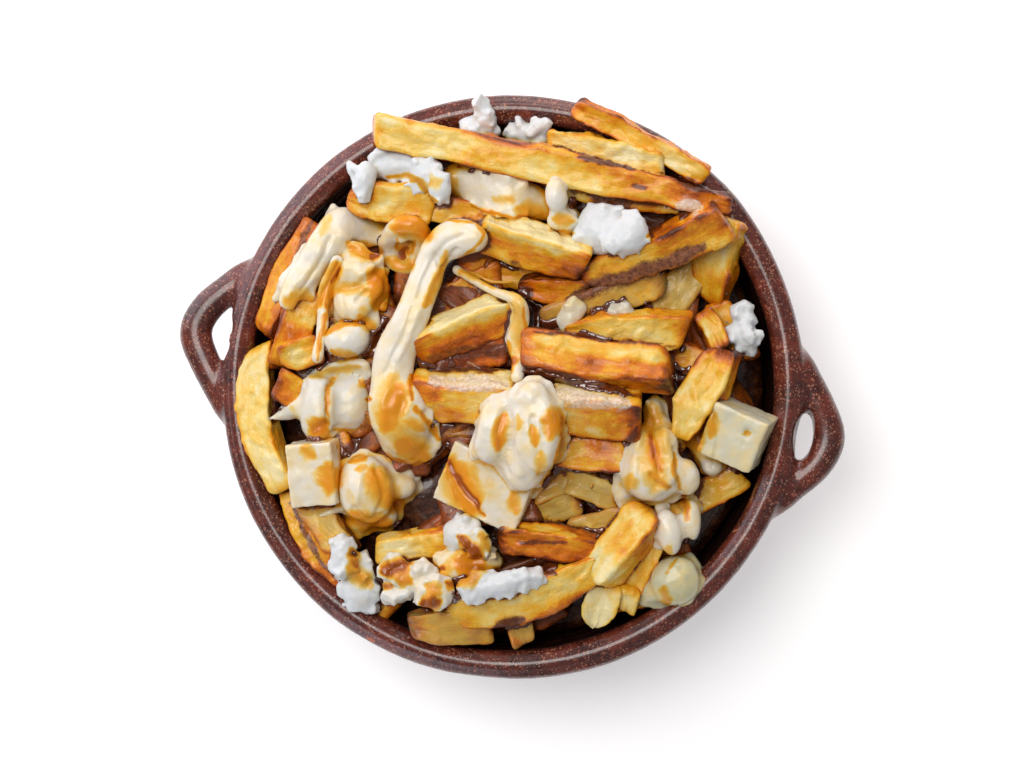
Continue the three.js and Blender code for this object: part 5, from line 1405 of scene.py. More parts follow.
def stick_master(cells, across):
    """A long cube cut into cells, from which the fries are shaped."""
    deselect_all()
    bpy.ops.mesh.primitive_cube_add(size=2, location=(0, 0, 0))
    master = bpy.context.view_layer.objects.active
    for axis, cuts in ((0, cells - 1), (1, across - 1), (2, across - 1)):
        bpy.ops.object.mode_set(mode="EDIT")
        bpy.ops.mesh.select_mode(type="EDGE")
        bpy.ops.mesh.select_all(action="DESELECT")
        work = bmesh.from_edit_mesh(master.data)
        for edge in work.edges:
            a, b = edge.verts
            edge.select = abs(a.co[axis] - b.co[axis]) > 1e-4 and all(
                abs(a.co[other] - b.co[other]) < 1e-4 for other in range(3) if other != axis)
        bmesh.update_edit_mesh(master.data)
        bpy.ops.mesh.subdivide(number_cuts=cuts, smoothness=0)
        bpy.ops.object.mode_set(mode="OBJECT")
    return master


def shape_fry(fry, master, cells, seed):
    """One fry: a copy of the master, rounded, cut by hand, blistered and laid on its middle line."""
    draw = random.Random(seed)
    obj = bpy.data.objects.new("fry", master.data.copy())
    bpy.context.scene.collection.objects.link(obj)
    local = points_of(obj)
    length = np.linalg.norm(fry.b - fry.a)
    torn = fry.name.startswith("torn")
    end_radius = 1.8
    ends = np.array([0, 0.2, 0.6, 1.2, 1.9])
    inner = np.linspace(2.7, length - 2.7, cells + 1 - 2 * len(ends))
    stations = np.concatenate((ends, inner, length - ends[::-1]))
    along = stations[np.rint((local[:, 0] + 1) / 2 * cells).astype(int)]
    square = np.max(np.abs(local[:, 1:]), axis=1)
    unit = local[:, 1:] / np.maximum(square, 1e-6)[:, None]
    power = draw.uniform(5, 9)
    corner = np.maximum(1e-6, np.abs(unit[:, 0]) ** power + np.abs(unit[:, 1]) ** power)
    rounding = 1 / corner ** (1 / power)
    section = unit * (rounding * square)[:, None]
    s = along / length
    scale = fry.scale_at(s)
    to_end = np.minimum(along, length - along)
    curve = np.sqrt(np.clip(end_radius**2 - (end_radius - to_end) ** 2, 0, None))
    inset = np.where(to_end < end_radius, end_radius - curve, 0)
    half_w = np.maximum(0.3, fry.width / 2 * scale - inset)
    half_t = np.maximum(0.3, fry.thick / 2 * scale - inset)
    # faces sink between crisp edges
    edge = np.minimum(np.abs(unit[:, 0]), np.abs(unit[:, 1]))
    phase = draw.uniform(0, 6.28)
    dip = draw.uniform(0.5, 1.2) * (1 - smooth_step(0.25, 1, edge)) * (0.6 + 0.4 * np.sin(along * 0.13 + phase))
    keep = 1 - dip / np.maximum(1, np.where(np.abs(unit[:, 0]) > np.abs(unit[:, 1]), half_w, half_t))
    y = section[:, 0] * half_w * keep
    z = section[:, 1] * half_t * keep
    stick = np.stack((along, section[:, 0] * fry.width / 2, section[:, 1] * fry.thick / 2), axis=1)
    stick += np.array((seed * 37.1, seed * 11.3, seed * 5.9))
    hand = 1.7 if torn else 1
    y += hand * (0.6 * rough(stick, 11, seed, 1) + 0.34 * rough(stick, 4.2, seed + 200, 2)) * square
    z += hand * (0.5 * rough(stick, 11, seed + 400, 1) + 0.3 * rough(stick, 4.2, seed + 600, 2)) * square
    # cut ends aren't square
    near_end = smooth_step(6, 0, to_end)
    shift = (y * draw.uniform(-0.4, 0.4) + z * draw.uniform(-0.35, 0.35)) * near_end
    twist = fry.roll + math.radians(draw.uniform(-6, 6)) * (2 * s - 1)
    middle = fry.middle(s)
    direction = (fry.b - fry.a) / length
    up = np.cross(direction, fry.across)
    up /= np.linalg.norm(up)
    wide = np.cos(twist)[:, None] * fry.across + np.sin(twist)[:, None] * up
    tall = -np.sin(twist)[:, None] * fry.across + np.cos(twist)[:, None] * up
    sag = 0.4 * np.sin(s * math.pi * draw.choice((1, 2)) + phase)
    points = middle + wide * y[:, None] + tall * z[:, None] + direction * shift[:, None] + up * sag[:, None]
    outward = wide * section[:, :1] + tall * section[:, 1:2]
    outward /= np.maximum(1e-6, np.linalg.norm(outward, axis=1))[:, None]
    long_way = stick * np.array((0.4, 1, 1))
    lumps = 0.27 * rough(long_way, 2.4, seed, 2) + 0.17 * rough(long_way, 1.2, seed + 40, 2)
    blisters = 0.5 * smooth_step(0.35, 0.9, rough(stick, 2.8, seed + 90, 1))
    places = in_picture(points) + 0.7 * np.stack((rough(points, 3, 7), rough(points, 3, 8)), axis=1)
    crust = painted(places, FRY_PAINT, "k") * smooth_step(0, 0.4, outward[:, 2])
    flakes = crust * (0.2 + 0.4 * rough(points, 1.5, 9, 2))
    points += outward * ((lumps * hand + blisters + flakes) * smooth_step(0, 0.6, square))[:, None]
    move_points(obj, serve(points))
    # browning, with painted shade: the front faces and the flanks are darkened too
    widest = np.abs(unit[:, 0]) > np.abs(unit[:, 1])
    face_out = np.where(widest[:, None], wide * np.sign(unit[:, :1]), tall * np.sign(unit[:, 1:2]))
    # front faces look down the picture; their extra browning is partly painted shade
    front = smooth_step(0.25, 0.75, -face_out[:, 1]) * (1 if abs(fry.across[1]) > 0.3 else 0)
    rim = smooth_step(0.72, 1, edge) * smooth_step(-0.6, 0.2, rough(long_way, 3.5, seed + 500, 2))
    crisp = np.clip(rim + smooth_step(4, 0, to_end) * 0.7, 0, 1)
    tone = fry.start_tone + (fry.end_tone - fry.start_tone) * s + fry.front_tone * front
    flank = smooth_step(0.7, 0.15, face_out[:, 2])
    # painted shade: faces that don't face up turn browner, as if in shade
    tone += 0.24 * flank - 0.01
    tone += 0.34 * crisp + 0.16 * rough(points, 10, seed + 80, 2) + 0.12 * blisters
    tone += 0.6 * painted(places, FRY_PAINT, "a") - 0.7 * painted(places, FRY_PAINT, "p")
    skin = np.maximum(fry.skin * front * (0.5 + 0.5 * smooth_step(0.3, 0.9, edge)), painted(places, FRY_PAINT, "s"))
    write_value(obj, "tone", tone)
    write_value(obj, "skin", skin)
    write_value(obj, "crust", crust)
    write_value(obj, "olive", np.full(len(points), 1.0 if fry.name in OLIVE_SHADED_FRIES else 0.0))
    write_value(obj, "stain", np.zeros(len(points)))
    attribute = obj.data.attributes.new("cut", "FLOAT_VECTOR", "POINT")
    attribute.data.foreach_set("vector", (long_way * MM).astype(np.float32).ravel())
    return obj


def deep_rows():
    """More fries in the depth of the heap, laid at random on the core."""
    draw = random.Random(11)
    rows = []
    for k in range(40):
        angle, distance = draw.uniform(0, 2 * math.pi), 66 * math.sqrt(draw.random())
        turn, half = draw.uniform(0, math.pi), draw.uniform(14, 26)
        x, y = distance * math.cos(angle), distance * math.sin(angle)
        dx, dy = half * math.cos(turn), half * math.sin(turn)
        ends = [(x - dx, y - dy), (x + dx, y + dy)]
        ends = [tuple(np.array(p) * min(1, 71 / max(1, math.hypot(*p)))) for p in ends]
        z = [float(core_top(*p)) + 1.5 for p in ends]
        rows.append((f"deep_{k}", (*ends[0], z[0]), (*ends[1], z[1]), 10, 9, draw.uniform(-30, 30), 1, 1, 0,
                     draw.uniform(0.35, 0.8), draw.uniform(0.35, 0.8), 0.2, 0))
    return rows


def make_core():
    """The gravy-soaked mass under the fries that show; its near-black colour is partly painted shade."""
    rings, sides = 26, 96
    points, faces = [], []
    for k in range(rings + 1):
        radius = 76 * k / rings
        for i in range(sides):
            angle = 2 * math.pi * i / sides
            x, y = radius * math.cos(angle), radius * math.sin(angle)
            points.append((x, y, float(core_top(x, y)) - 3))
    for radius, z in ((70, 15), (58, 9), (30, 7)):
        for i in range(sides):
            angle = 2 * math.pi * i / sides
            points.append((radius * math.cos(angle), radius * math.sin(angle), z))
    rows = rings + 4
    for k in range(rows - 1):
        for i in range(sides):
            j = (i + 1) % sides
            faces.append((k * sides + i, (k + 1) * sides + i, (k + 1) * sides + j, k * sides + j))
    faces.append(tuple((rows - 1) * sides + i for i in range(sides))[::-1])
    core = add_mesh("soaked_core", serve(points), faces)
    only(core)
    bpy.ops.object.mode_set(mode="EDIT")
    bpy.ops.mesh.select_all(action="SELECT")
    bpy.ops.mesh.remove_doubles(threshold=0.0002)
    bpy.ops.mesh.normals_make_consistent(inside=False)
    bpy.ops.object.mode_set(mode="OBJECT")
    spots = points_of(core)
    bumps = 1.6 * rough(spots / MM, 9, 5, 3)
    spots[:, 2] += np.where(spots[:, 2] > 0.02, bumps, 0) * MM
    move_points(core, spots)
    only(core)
    bpy.ops.object.shade_smooth()
    core.data.materials.append(soaked_shade_material())
    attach(core, "root")
    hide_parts("fries_heap")



def make_fries(fries):
    masters = {cells: stick_master(cells, FACE_CELLS) for _, cells in FRY_CELLS}
    deep_cells = 30
    deep_master = stick_master(deep_cells, 8)
    groups = {name: [] for name in FRY_PIECES}
    for seed, row in enumerate(deep_rows()):
        groups["deep_fries"].append(shape_fry(LaidFry(row), deep_master, deep_cells, seed + 100))
    share = math.ceil(len(fries) / (len(FRY_PIECES) - 1))
    for k, fry in enumerate(fries):
        share_left, up, higher = TRIMMED_FRIES.get(fry.name, (1, 0, 0))
        fry.width *= share_left
        fry.a = fry.a + (0, up, higher)
        fry.b = fry.b + (0, up, higher)
        cells = next(count for limit, count in FRY_CELLS if fry.length < limit)
        groups[FRY_PIECES[1 + k // share]].append(shape_fry(fry, masters[cells], cells, k + 1))
    for master in (*masters.values(), deep_master):
        bpy.data.objects.remove(master)
    material = fry_material()
    for name, members in groups.items():
        piece = join(members, name)
        only(piece)
        bpy.ops.object.shade_smooth()
        piece.data.materials.append(material)
        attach(piece, "root")
        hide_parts("fries_heap")


# The cheese


def add_ball(work, centre, halves, turn, detail=3):
    made = bmesh.ops.create_icosphere(work, subdivisions=detail, radius=1)
    place = Matrix.Translation(Vector(centre)) @ Matrix.Rotation(turn, 4, "Z") @ Matrix.Diagonal((*halves, 1))
    bmesh.ops.transform(work, matrix=place, verts=made["verts"])


def add_block(work, centre, halves, turn, tilt):
    made = bmesh.ops.create_cube(work, size=2)
    lean = math.radians(tilt)
    rotation = Matrix.Rotation(turn, 4, "Z") @ Matrix.Rotation(-lean * 0.6, 4, "Y") @ Matrix.Rotation(lean, 4, "X")
    place = Matrix.Translation(Vector(centre)) @ rotation @ Matrix.Diagonal((*halves, 1))
    bmesh.ops.transform(work, matrix=place, verts=made["verts"])


def add_chip(work, centre, size, draw):
    """A small angular crumb of curd."""
    made = bmesh.ops.create_cube(work, size=size)
    turn = [Matrix.Rotation(draw.uniform(0, math.pi), 4, axis) for axis in "XYZ"]
    stretch = Matrix.Diagonal((draw.uniform(0.5, 1.2), draw.uniform(0.5, 1.2), draw.uniform(0.4, 1), 1))
    place = Matrix.Translation(Vector(centre)) @ turn[0] @ turn[1] @ turn[2] @ stretch
    bmesh.ops.transform(work, matrix=place, verts=made["verts"])


def smooth_line(knots, spacing):
    """Points along a smooth line through the knots, each as long a row of numbers as a knot."""
    knots = np.asarray(knots, dtype=float)
    last = len(knots) - 1
    line = []
    for i in range(last):
        p = [knots[min(last, max(0, i + j))] for j in (-1, 0, 1, 2)]
        steps = max(1, math.ceil(np.linalg.norm((p[2] - p[1])[:2]) / spacing))
        for f in np.arange(steps) / steps:
            line.append(0.5 * (2 * p[1] + (p[2] - p[0]) * f + (2 * p[0] - 5 * p[1] + 4 * p[2] - p[3]) * f * f
                               + (3 * p[1] - p[0] - 3 * p[2] + p[3]) * f**3))
    line.append(knots[-1])
    return np.array(line)


def run_out_parts(node, laid, ground, draw):
    """Round parts of the cheese that has run out from a piece and lies over the fries."""
    parts = []
    for sections in [path for name, path in RUN_OUT if name == node]:
        line = smooth_line(sections, 1.2)
        for k, (right, up, half, thick) in enumerate(line):
            ahead, behind = line[min(k + 1, len(line) - 1)][:2], line[max(k - 1, 0)][:2]
            along = (ahead - behind) / max(1e-6, np.linalg.norm(ahead - behind))
            half *= 1 + 0.16 * draw.uniform(-1, 1)
            radius = max(0.6, min(half, 2.2))
            count = math.ceil(max(0, half - radius) / 1.3)
            for i in range(-count, count + 1):
                off = (half - radius) * i / max(1, count)
                place = ground.rest((right - along[1] * off, up + along[0] * off))
                near = min(laid, key=lambda part: np.hypot(*(part[0] - place)[:2]))
                if np.hypot(*(near[0] - place)[:2]) < max(near[1][:2]) * 1.3:
                    place[2] = max(place[2], near[0][2] - 2.5)
                flat = thick * (1 - 0.35 * (off / half) ** 2)
                parts.append(((place[0], place[1], place[2] + flat * 0.2), (radius, radius, flat * 0.8)))
    return parts


def skirt(parts, ground, draw, reach):
    """Round parts that follow the fries under a melted piece, out to its ragged edge."""
    found = []
    for (cx, cy, cz), (half_x, half_y, half_z), turn in parts:
        spacing = 1.7
        count_x, count_y = int(half_x * reach / spacing) + 1, int(half_y * reach / spacing) + 1
        for i in range(-count_x, count_x + 1):
            for j in range(-count_y, count_y + 1):
                px = (i + draw.uniform(-0.4, 0.4)) * spacing
                py = (j + draw.uniform(-0.4, 0.4)) * spacing
                edge = (px / (half_x * reach)) ** 2 + (py / (half_y * reach)) ** 2
                if edge > 1 - 0.25 * draw.random():
                    continue
                x = cx + px * math.cos(turn) - py * math.sin(turn)
                y = cy + px * math.sin(turn) + py * math.cos(turn)
                z = float(ground.read(ground.bridged, np.array([(x, y)]))[0])
                if z > cz - half_z - 5:
                    found.append(((x, y, min(z, cz) - 0.2), (2.2, 2.2, 1.5)))
    return found


def break_up(work, parts, crumbly, ground, draw):
    """Angular chips stand out of a curd, and a few have fallen off beside it."""
    for centre, (half_x, half_y, half_z), turn in parts:
        for _ in range(int(3.2 * crumbly * half_x)):
            angle, lift = draw.uniform(0, 2 * math.pi), draw.uniform(-0.2, 0.5 if crumbly < 0.85 else 0.9)
            flat = math.sqrt(1 - lift * lift) * 0.95
            px, py = half_x * flat * math.cos(angle), half_y * flat * math.sin(angle)
            place = (centre[0] + px * math.cos(turn) - py * math.sin(turn),
                     centre[1] + px * math.sin(turn) + py * math.cos(turn), centre[2] + half_z * lift)
            add_chip(work, place, draw.uniform(2.2, 4.6), draw)
        for _ in range(int(3 * crumbly)):
            angle, far = draw.uniform(0, 2 * math.pi), draw.uniform(1.05, 1.5)
            x, y = centre[0] + half_x * far * math.cos(angle), centre[1] + half_y * far * math.sin(angle)
            z = float(ground.read(ground.heights, np.array([(x, y)]))[0])
            if abs(z - centre[2]) < 6:
                add_chip(work, (x, y, z + 0.3), draw.uniform(0.9, 1.9), draw)


def folded(places):
    """How far the folds lift or sink the cheese at each place in the picture."""
    lift = np.zeros(len(places))
    low, high = places.min(axis=0), places.max(axis=0)
    for half, height, path in CHEESE_FOLDS:
        line = smooth_line(path, 2)
        if np.any(line.min(axis=0) - 2 * half > high) or np.any(line.max(axis=0) + 2 * half < low):
            continue
        nearest = np.full(len(places), 99.0)
        for a, b in zip(line, line[1:]):
            nearest = np.minimum(nearest, distance_to(places, a, b)[0])
        lift += height * np.exp(-((nearest / half) ** 2))
    return lift


def mould_cheese(node, kind, laid, look, shape, ground, seed):
    """One piece of cheese: its parts are run together, smoothed, folded and crumbled."""
    white, crumbly, _, lemon = look
    draw = random.Random(seed)
    work = bmesh.new()
    parts = laid
    if kind == "strand":
        rows = [(*centre, *halves) for centre, halves, _ in laid]
        parts = [(row[:3], tuple(row[3:]), 0) for row in smooth_line(rows, 0.9)]
    if kind == "block":
        add_block(work, laid[0][0], laid[0][1], laid[0][2], shape[3])
    else:
        for centre, halves, turn in parts:
            add_ball(work, centre, halves, turn)
    if kind == "lump" and white < 0.7:
        for centre, halves in skirt(parts, ground, draw, 1.1):
            add_ball(work, centre, halves, 0, 2)
    for centre, halves in run_out_parts(node, laid, ground, draw):
        add_ball(work, centre, halves, 0, 2)
    if crumbly > 0.4:
        break_up(work, parts, crumbly, ground, draw)
    mesh = bpy.data.meshes.new(node)
    work.to_mesh(mesh)
    work.free()
    piece = bpy.data.objects.new(node + "_melt", mesh)
    bpy.context.scene.collection.objects.link(piece)
    move_points(piece, serve(points_of(piece)))
    thin = node == "cheese_thread"
    finish_modifier(piece, "REMESH", mode="VOXEL", voxel_size=(0.36 if thin else 0.48) * MM)
    rounds = 11 if crumbly > 0.4 else 4
    finish_modifier(piece, "SMOOTH", factor=0.6, iterations=rounds)
    if crumbly <= 0.4 and kind != "block":
        fill = 0.5 if thin else 1.3
        move_points(piece, points_of(piece) + normals_of(piece) * fill * MM)
        finish_modifier(piece, "REMESH", mode="VOXEL", voxel_size=(0.4 if thin else 0.52) * MM)
        finish_modifier(piece, "SMOOTH", factor=0.6, iterations=rounds)
        move_points(piece, points_of(piece) - normals_of(piece) * fill * MM)
        finish_modifier(piece, "SMOOTH", factor=0.5, iterations=3)
    normals = normals_of(piece)
    spots = unserve(points_of(piece))
    relief = (0.12 if thin else 0.3) * rough(spots, 5.5, seed, 2) + 0.07 * rough(spots, 1.6, seed + 20, 2)
    relief += crumbly * (0.1 * rough(spots, 1.3, seed + 30, 3) + 0.25 * rough(spots, 2.6, seed + 35, 2))
    relief += folded(in_picture(spots) + 0.4 * np.stack((rough(spots, 4, 3), rough(spots, 4, 4)), axis=1)) \
        * smooth_step(0, 0.5, normals[:, 2]) * (0.4 if thin else 1)
    move_points(piece, points_of(piece) + normals * (relief * MM)[:, None])
    write_value(piece, "white", np.full(len(spots), white))
    write_value(piece, "lemon", np.full(len(spots), lemon))
    only(piece)
    bpy.ops.object.shade_smooth()
    return piece


def make_cheese(cheese):
    ground = TopMap((*FRY_PIECES, "soaked_core", "glazed_dish"))
    material = cheese_material()
    for seed, (node, _, kind, shape, look) in enumerate(CHEESE):
        piece = mould_cheese(node, kind, cheese[node], look, shape, ground, seed + 1)
        piece.data.materials.append(material)
        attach(piece, "root")
        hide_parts(node)


# The gravy


def pour_over(piece, strokes, top, near, wide, seed):
    """Gravy runs in strokes over a piece, and gathers where it lies low or meets its neighbours.
    The crease and hollow marks that darken these places are partly gravy and partly painted shade.
    """
    points = unserve(points_of(piece))
    normals = normals_of(piece)
    places = in_picture(points) + 0.6 * np.stack((rough(points, 2.6, seed), rough(points, 2.6, seed + 1)), axis=1)
    open_above = smooth_step(3.5, 1.5, top.read(top.heights, points) - points[:, 2])
    facing = smooth_step(-0.3, 0.2, normals[:, 2])
    strokes_here = painted(places, strokes, "g") * open_above * facing
    # painted shade as well as gravy: creases and hollows lying below their neighbours
    crease = smooth_step(0.5, 2.2, top.read(near, points) - points[:, 2])
    hollow = smooth_step(1.5, 8, top.read(wide, points) - points[:, 2])
    return points, places, strokes_here, crease, hollow


def make_gravy(cheese_looks):
    """Pours the gravy over fries and cheese, and fills the hollows with it."""
    names = [node + "_melt" for node in cheese_looks]
    top = TopMap((*FRY_PIECES, *names, "soaked_core", "glazed_dish"))
    near, wide = blurred(top.heights, 1.3 / TOP_CELL), blurred(top.heights, 3.5 / TOP_CELL)
    for name in FRY_PIECES:
        piece = bpy.data.objects[name]
        points, places, strokes, crease, hollow = pour_over(piece, FRY_PAINT, top, near, wide, 11)
        dry = 1 - painted(places, FRY_PAINT, "d")
        # low places darken, partly with gravy and partly as painted shade
        low = np.maximum(crease * 0.65, hollow * 0.85) * dry
        # painted shade: every fry deep in the heap is darkened
        if name == "deep_fries":
            low = np.maximum(low, 0.54)
        write_value(piece, "gravy", np.maximum(strokes, low))
        spilt = 0.17 * smooth_step(0.1, 0.8, rough(points, 8, 21, 2))
        piece.data.attributes["stain"].data.foreach_set("value", np.maximum(spilt, 0.6 * low).astype(np.float32))
    for node, (white, _, stain, _) in cheese_looks.items():
        piece = bpy.data.objects[node + "_melt"]
        points, places, strokes, crease, hollow = pour_over(piece, CHEESE_PAINT, top, near, wide, 13)
        # creases and hollows on the cheese darken, partly with gravy and partly as painted shade
        low = np.maximum(crease * 0.28, hollow * 0.6) * min(1, stain + 0.35)
        spilt = painted(places, CHEESE_PAINT, "a")
        patches = np.maximum(0.5 * stain * smooth_step(0, 0.9, rough(points, 6, 31, 2)), stain * 0.22)
        write_value(piece, "gravy", np.maximum(strokes, low * 0.8))
        write_value(piece, "stain", np.maximum(np.maximum(spilt, patches), low))
    make_pools(top)


def make_pools(top):
    """Gravy stands in the gaps between the pieces; its dark colour there is partly painted shade."""
    level = top.closed(2.6)
    x, y = np.meshgrid(top.line, top.line)
    points = np.stack((x.ravel(), y.ravel(), top.heights.ravel()), axis=1)
    places = in_picture(points)
    poured = np.maximum(painted(places, [stroke for stroke in (*FRY_PAINT, *CHEESE_PAINT) if stroke[1] >= 1.4], "g"),
                        smooth_step(0.15, 0.5, rough(points * (1, 1, 0), 13, 41, 2)) * 0.9)
    poured *= 1 - painted(places, FRY_PAINT, "d")
    deep = (level.ravel() - points[:, 2] > 1.7) & (poured > 0.5) & (np.hypot(points[:, 0], points[:, 1]) < 74)
    deep &= points[:, 2] > 38
    picked = points[deep & (np.arange(len(points)) % 2 == 0)]
    filled = np.minimum(top.read(level, picked) - 1.5, picked[:, 2] + 0.3)
    work = bmesh.new()
    for (px, py, _), z in zip(picked, filled):
        add_ball(work, (px, py, z), (1, 1, 0.75), 0, 1)
    mesh = bpy.data.meshes.new("gravy_pools")
    work.to_mesh(mesh)
    work.free()
    piece = bpy.data.objects.new("gravy_pools", mesh)
    bpy.context.scene.collection.objects.link(piece)
    move_points(piece, serve(points_of(piece)))
    finish_modifier(piece, "REMESH", mode="VOXEL", voxel_size=0.45 * MM)
    finish_modifier(piece, "SMOOTH", factor=0.6, iterations=8)
    only(piece)
    bpy.ops.object.shade_smooth()
    piece.data.materials.append(pool_gravy_and_shade_material())
    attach(piece, "root")
    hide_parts("fries_heap")


# The stage


def make_stage():
    settings = bpy.context.scene.poutine_stage
    deselect_all()
    bpy.ops.mesh.primitive_plane_add(size=4, location=(0, 0, 0))
    floor = bpy.context.view_layer.objects.active
    floor.name = floor.data.name = "floor"
    nodes = Nodes("pale_floor")
    nodes.shader.inputs["Base Color"].default_value = (*settings.floor, 1)
    nodes.shader.inputs["Roughness"].default_value = 0.7
    nodes.shader.inputs["Emission Color"].default_value = (1, 1, 1, 1)
    nodes.shader.inputs["Emission Strength"].default_value = 0.4
    floor.data.materials.append(nodes.material)

    def at(right, up, height):
        return Vector(serve([(right, up, height)])[0])

    def lamp(name, place, size, power, tint):
        data = bpy.data.lights.new(name, "AREA")
        data.shape = "DISK"
        data.size = size
        data.energy = power
        data.color = tint
        obj = bpy.data.objects.new(name, data)
        bpy.context.scene.collection.objects.link(obj)
        obj.location = place
        obj.rotation_euler = (at(0, 0, 40) - place).to_track_quat("-Z", "Y").to_euler()

    lamp("key", at(-190, 230, 990), 0.62, settings.key_power, (1, 0.98, 0.95))
    lamp("window", at(-760, 520, 430), 0.9, settings.window_power, (0.88, 0.86, 1))
    lamp("back", at(120, 860, 420), 0.7, settings.window_power * 0.85, (1, 0.88, 0.86))
    lamp("low", at(-420, -820, 240), 0.6, settings.window_power * 0.3, (0.86, 0.84, 1))
    world = bpy.data.worlds.new("studio")
    world.use_nodes = True
    world.node_tree.nodes["Background"].inputs["Color"].default_value = (0.97, 0.96, 1, 1)
    world.node_tree.nodes["Background"].inputs["Strength"].default_value = settings.ambient
    scene = bpy.context.scene
    scene.world = world
    scene.view_settings.view_transform = "Standard"
    scene.view_settings.look = "None"

    data = bpy.data.cameras.new("camera")
    camera = bpy.data.objects.new("camera", data)
    scene.collection.objects.link(camera)
    eye = (EYE_DISTANCE * math.sin(EYE_TILT) * math.cos(EYE_SIDE),
           EYE_DISTANCE * math.sin(EYE_TILT) * math.sin(EYE_SIDE),
           DISH_HEIGHT + EYE_DISTANCE * math.cos(EYE_TILT))
    aim = ((IMAGE_WIDTH / 2 - AXIS_PIXEL[0]) * MM_PER_PIXEL,
           (AXIS_PIXEL[1] - IMAGE_HEIGHT / 2) * MM_PER_PIXEL, DISH_HEIGHT)
    place, target = at(*eye), at(*aim)
    back = (place - target).normalized()
    picture_up = at(0, 1, 0).normalized()
    across = picture_up.cross(back).normalized()
    level = back.cross(across)
    turned = Matrix((across, level, back)).transposed().to_4x4()
    camera.matrix_world = Matrix.Translation(place) @ turned
    data.sensor_width = 36
    data.lens = 36 * (place - target).length / (IMAGE_WIDTH * MM_PER_PIXEL * MM)
    data.clip_start = 0.01
    scene.camera = camera


# What a user can change


def colour_setting(name, description, default):
    return bpy.props.FloatVectorProperty(
        name=name, description=description, subtype="COLOR", size=3, min=0, max=1, default=default[:3])


class PoutineDishSettings(bpy.types.PropertyGroup):
    glaze: colour_setting("Glaze", "Colour of the glaze where it is thin", colour(112, 46, 31))
    glaze_dark: colour_setting("Dark glaze", "Colour of the glaze where it is thick", colour(60, 25, 22))


class PoutineFriesSettings(bpy.types.PropertyGroup):
    pale: colour_setting("Pale", "Colour of potato that has hardly browned", colour(240, 225, 168))
    straw: colour_setting("Straw", "Colour of lightly fried potato", colour(240, 207, 108))
    golden: colour_setting("Golden", "Colour of golden potato", colour(238, 178, 34))
    orange: colour_setting("Orange", "Colour of well fried potato", colour(220, 122, 0))
    brown: colour_setting("Brown", "Colour of the crispest edges", colour(156, 70, 10))


class PoutineCheeseSettings(bpy.types.PropertyGroup):
    melted: colour_setting("Melted", "Colour of melted cheese", colour(232, 225, 207))
    curd: colour_setting("Curd", "Colour of whole curds", colour(217, 221, 221))
    lemon: colour_setting("Lemon", "Colour of the yellower curds", colour(184, 184, 142))


class PoutineGravySettings(bpy.types.PropertyGroup):
    # thick gravy's colour, darkened partly as painted shade for the gravy in the gaps
    dark: colour_setting("Dark", "Colour of thick gravy", colour(80, 33, 18))
    caramel: colour_setting("Caramel", "Colour of gravy that has soaked in", colour(190, 94, 12))
    amber: colour_setting("Amber", "Colour of thin gravy", colour(253, 171, 34))


class PoutineStageSettings(bpy.types.PropertyGroup):
    floor: colour_setting("Floor", "Colour of the pale floor", (0.86, 0.86, 0.86))
    key_power: bpy.props.FloatProperty(
        name="Key power", description="Power of the main lamp", unit="POWER", min=0, default=5.8)
    window_power: bpy.props.FloatProperty(
        name="Window power", description="Power of the cool lamps", unit="POWER", min=0, default=3.8)
    ambient: bpy.props.FloatProperty(
        name="Ambient", description="Strength of the light from all round", min=0, default=0.25)


class POUTINE_OT_dish(bpy.types.Operator):
    """Spin, pierce and glaze the dish"""

    bl_idname = "poutine.dish"
    bl_label = "Make the dish"

    def execute(self, context):
        make_dish()
        return {"FINISHED"}


class POUTINE_OT_fries(bpy.types.Operator):
    """Cut, fry and heap the potatoes"""

    bl_idname = "poutine.fries"
    bl_label = "Make the fries"

    def execute(self, context):
        fries, _ = lay_heap()
        make_core()
        make_fries(fries)
        return {"FINISHED"}


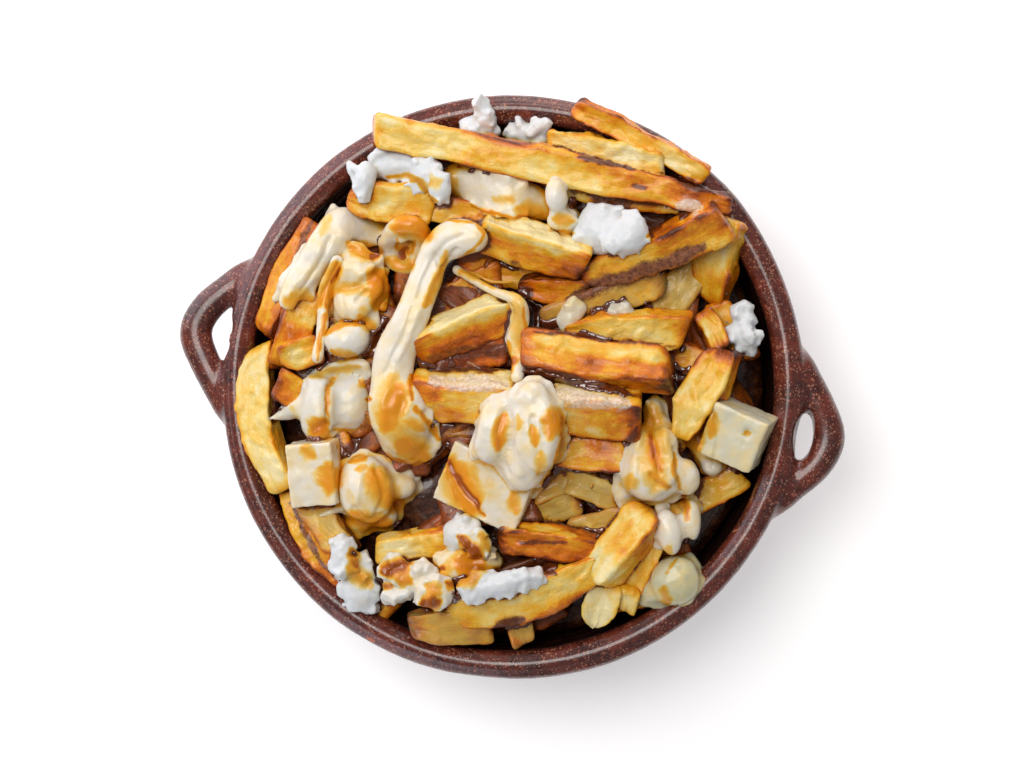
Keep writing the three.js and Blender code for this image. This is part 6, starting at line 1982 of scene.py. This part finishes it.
class POUTINE_OT_cheese(bpy.types.Operator):
    """Mould the curds and drape the melted cheese"""

    bl_idname = "poutine.cheese"
    bl_label = "Make the cheese"

    def execute(self, context):
        _, cheese = lay_heap()
        make_cheese(cheese)
        return {"FINISHED"}


class POUTINE_OT_gravy(bpy.types.Operator):
    """Pour the gravy over the fries and the cheese"""

    bl_idname = "poutine.gravy"
    bl_label = "Pour the gravy"

    def execute(self, context):
        make_gravy({node: look for node, _, _, _, look in CHEESE})
        return {"FINISHED"}


class POUTINE_OT_stage(bpy.types.Operator):
    """Set the floor, the light and the camera"""

    bl_idname = "poutine.stage"
    bl_label = "Set the stage"

    def execute(self, context):
        make_stage()
        return {"FINISHED"}


class POUTINE_PT_panel(bpy.types.Panel):
    """The dish of poutine, piece by piece"""

    bl_label = "Dish of Poutine"
    bl_idname = "POUTINE_PT_panel"
    bl_space_type = "VIEW_3D"
    bl_region_type = "UI"
    bl_category = "Poutine"

    def draw(self, context):
        for settings in SETTINGS:
            group = getattr(context.scene, settings)
            for name in group.__annotations__:
                self.layout.prop(group, name)
        for operator in OPERATORS:
            self.layout.operator(operator.bl_idname)


SETTINGS = {
    "poutine_dish": PoutineDishSettings,
    "poutine_fries": PoutineFriesSettings,
    "poutine_cheese": PoutineCheeseSettings,
    "poutine_gravy": PoutineGravySettings,
    "poutine_stage": PoutineStageSettings,
}
OPERATORS = (POUTINE_OT_dish, POUTINE_OT_fries, POUTINE_OT_cheese, POUTINE_OT_gravy, POUTINE_OT_stage)


def register():
    for cls in (*SETTINGS.values(), *OPERATORS, POUTINE_PT_panel):
        bpy.utils.register_class(cls)
    for name, cls in SETTINGS.items():
        setattr(bpy.types.Scene, name, bpy.props.PointerProperty(type=cls))


def unregister():
    for name in SETTINGS:
        delattr(bpy.types.Scene, name)
    for cls in reversed((*SETTINGS.values(), *OPERATORS, POUTINE_PT_panel)):
        bpy.utils.unregister_class(cls)


def main():
    register()
    bpy.ops.poutine.dish()
    bpy.ops.poutine.fries()
    bpy.ops.poutine.cheese()
    bpy.ops.poutine.gravy()
    bpy.ops.poutine.stage()


if __name__ == "__main__":
    main()
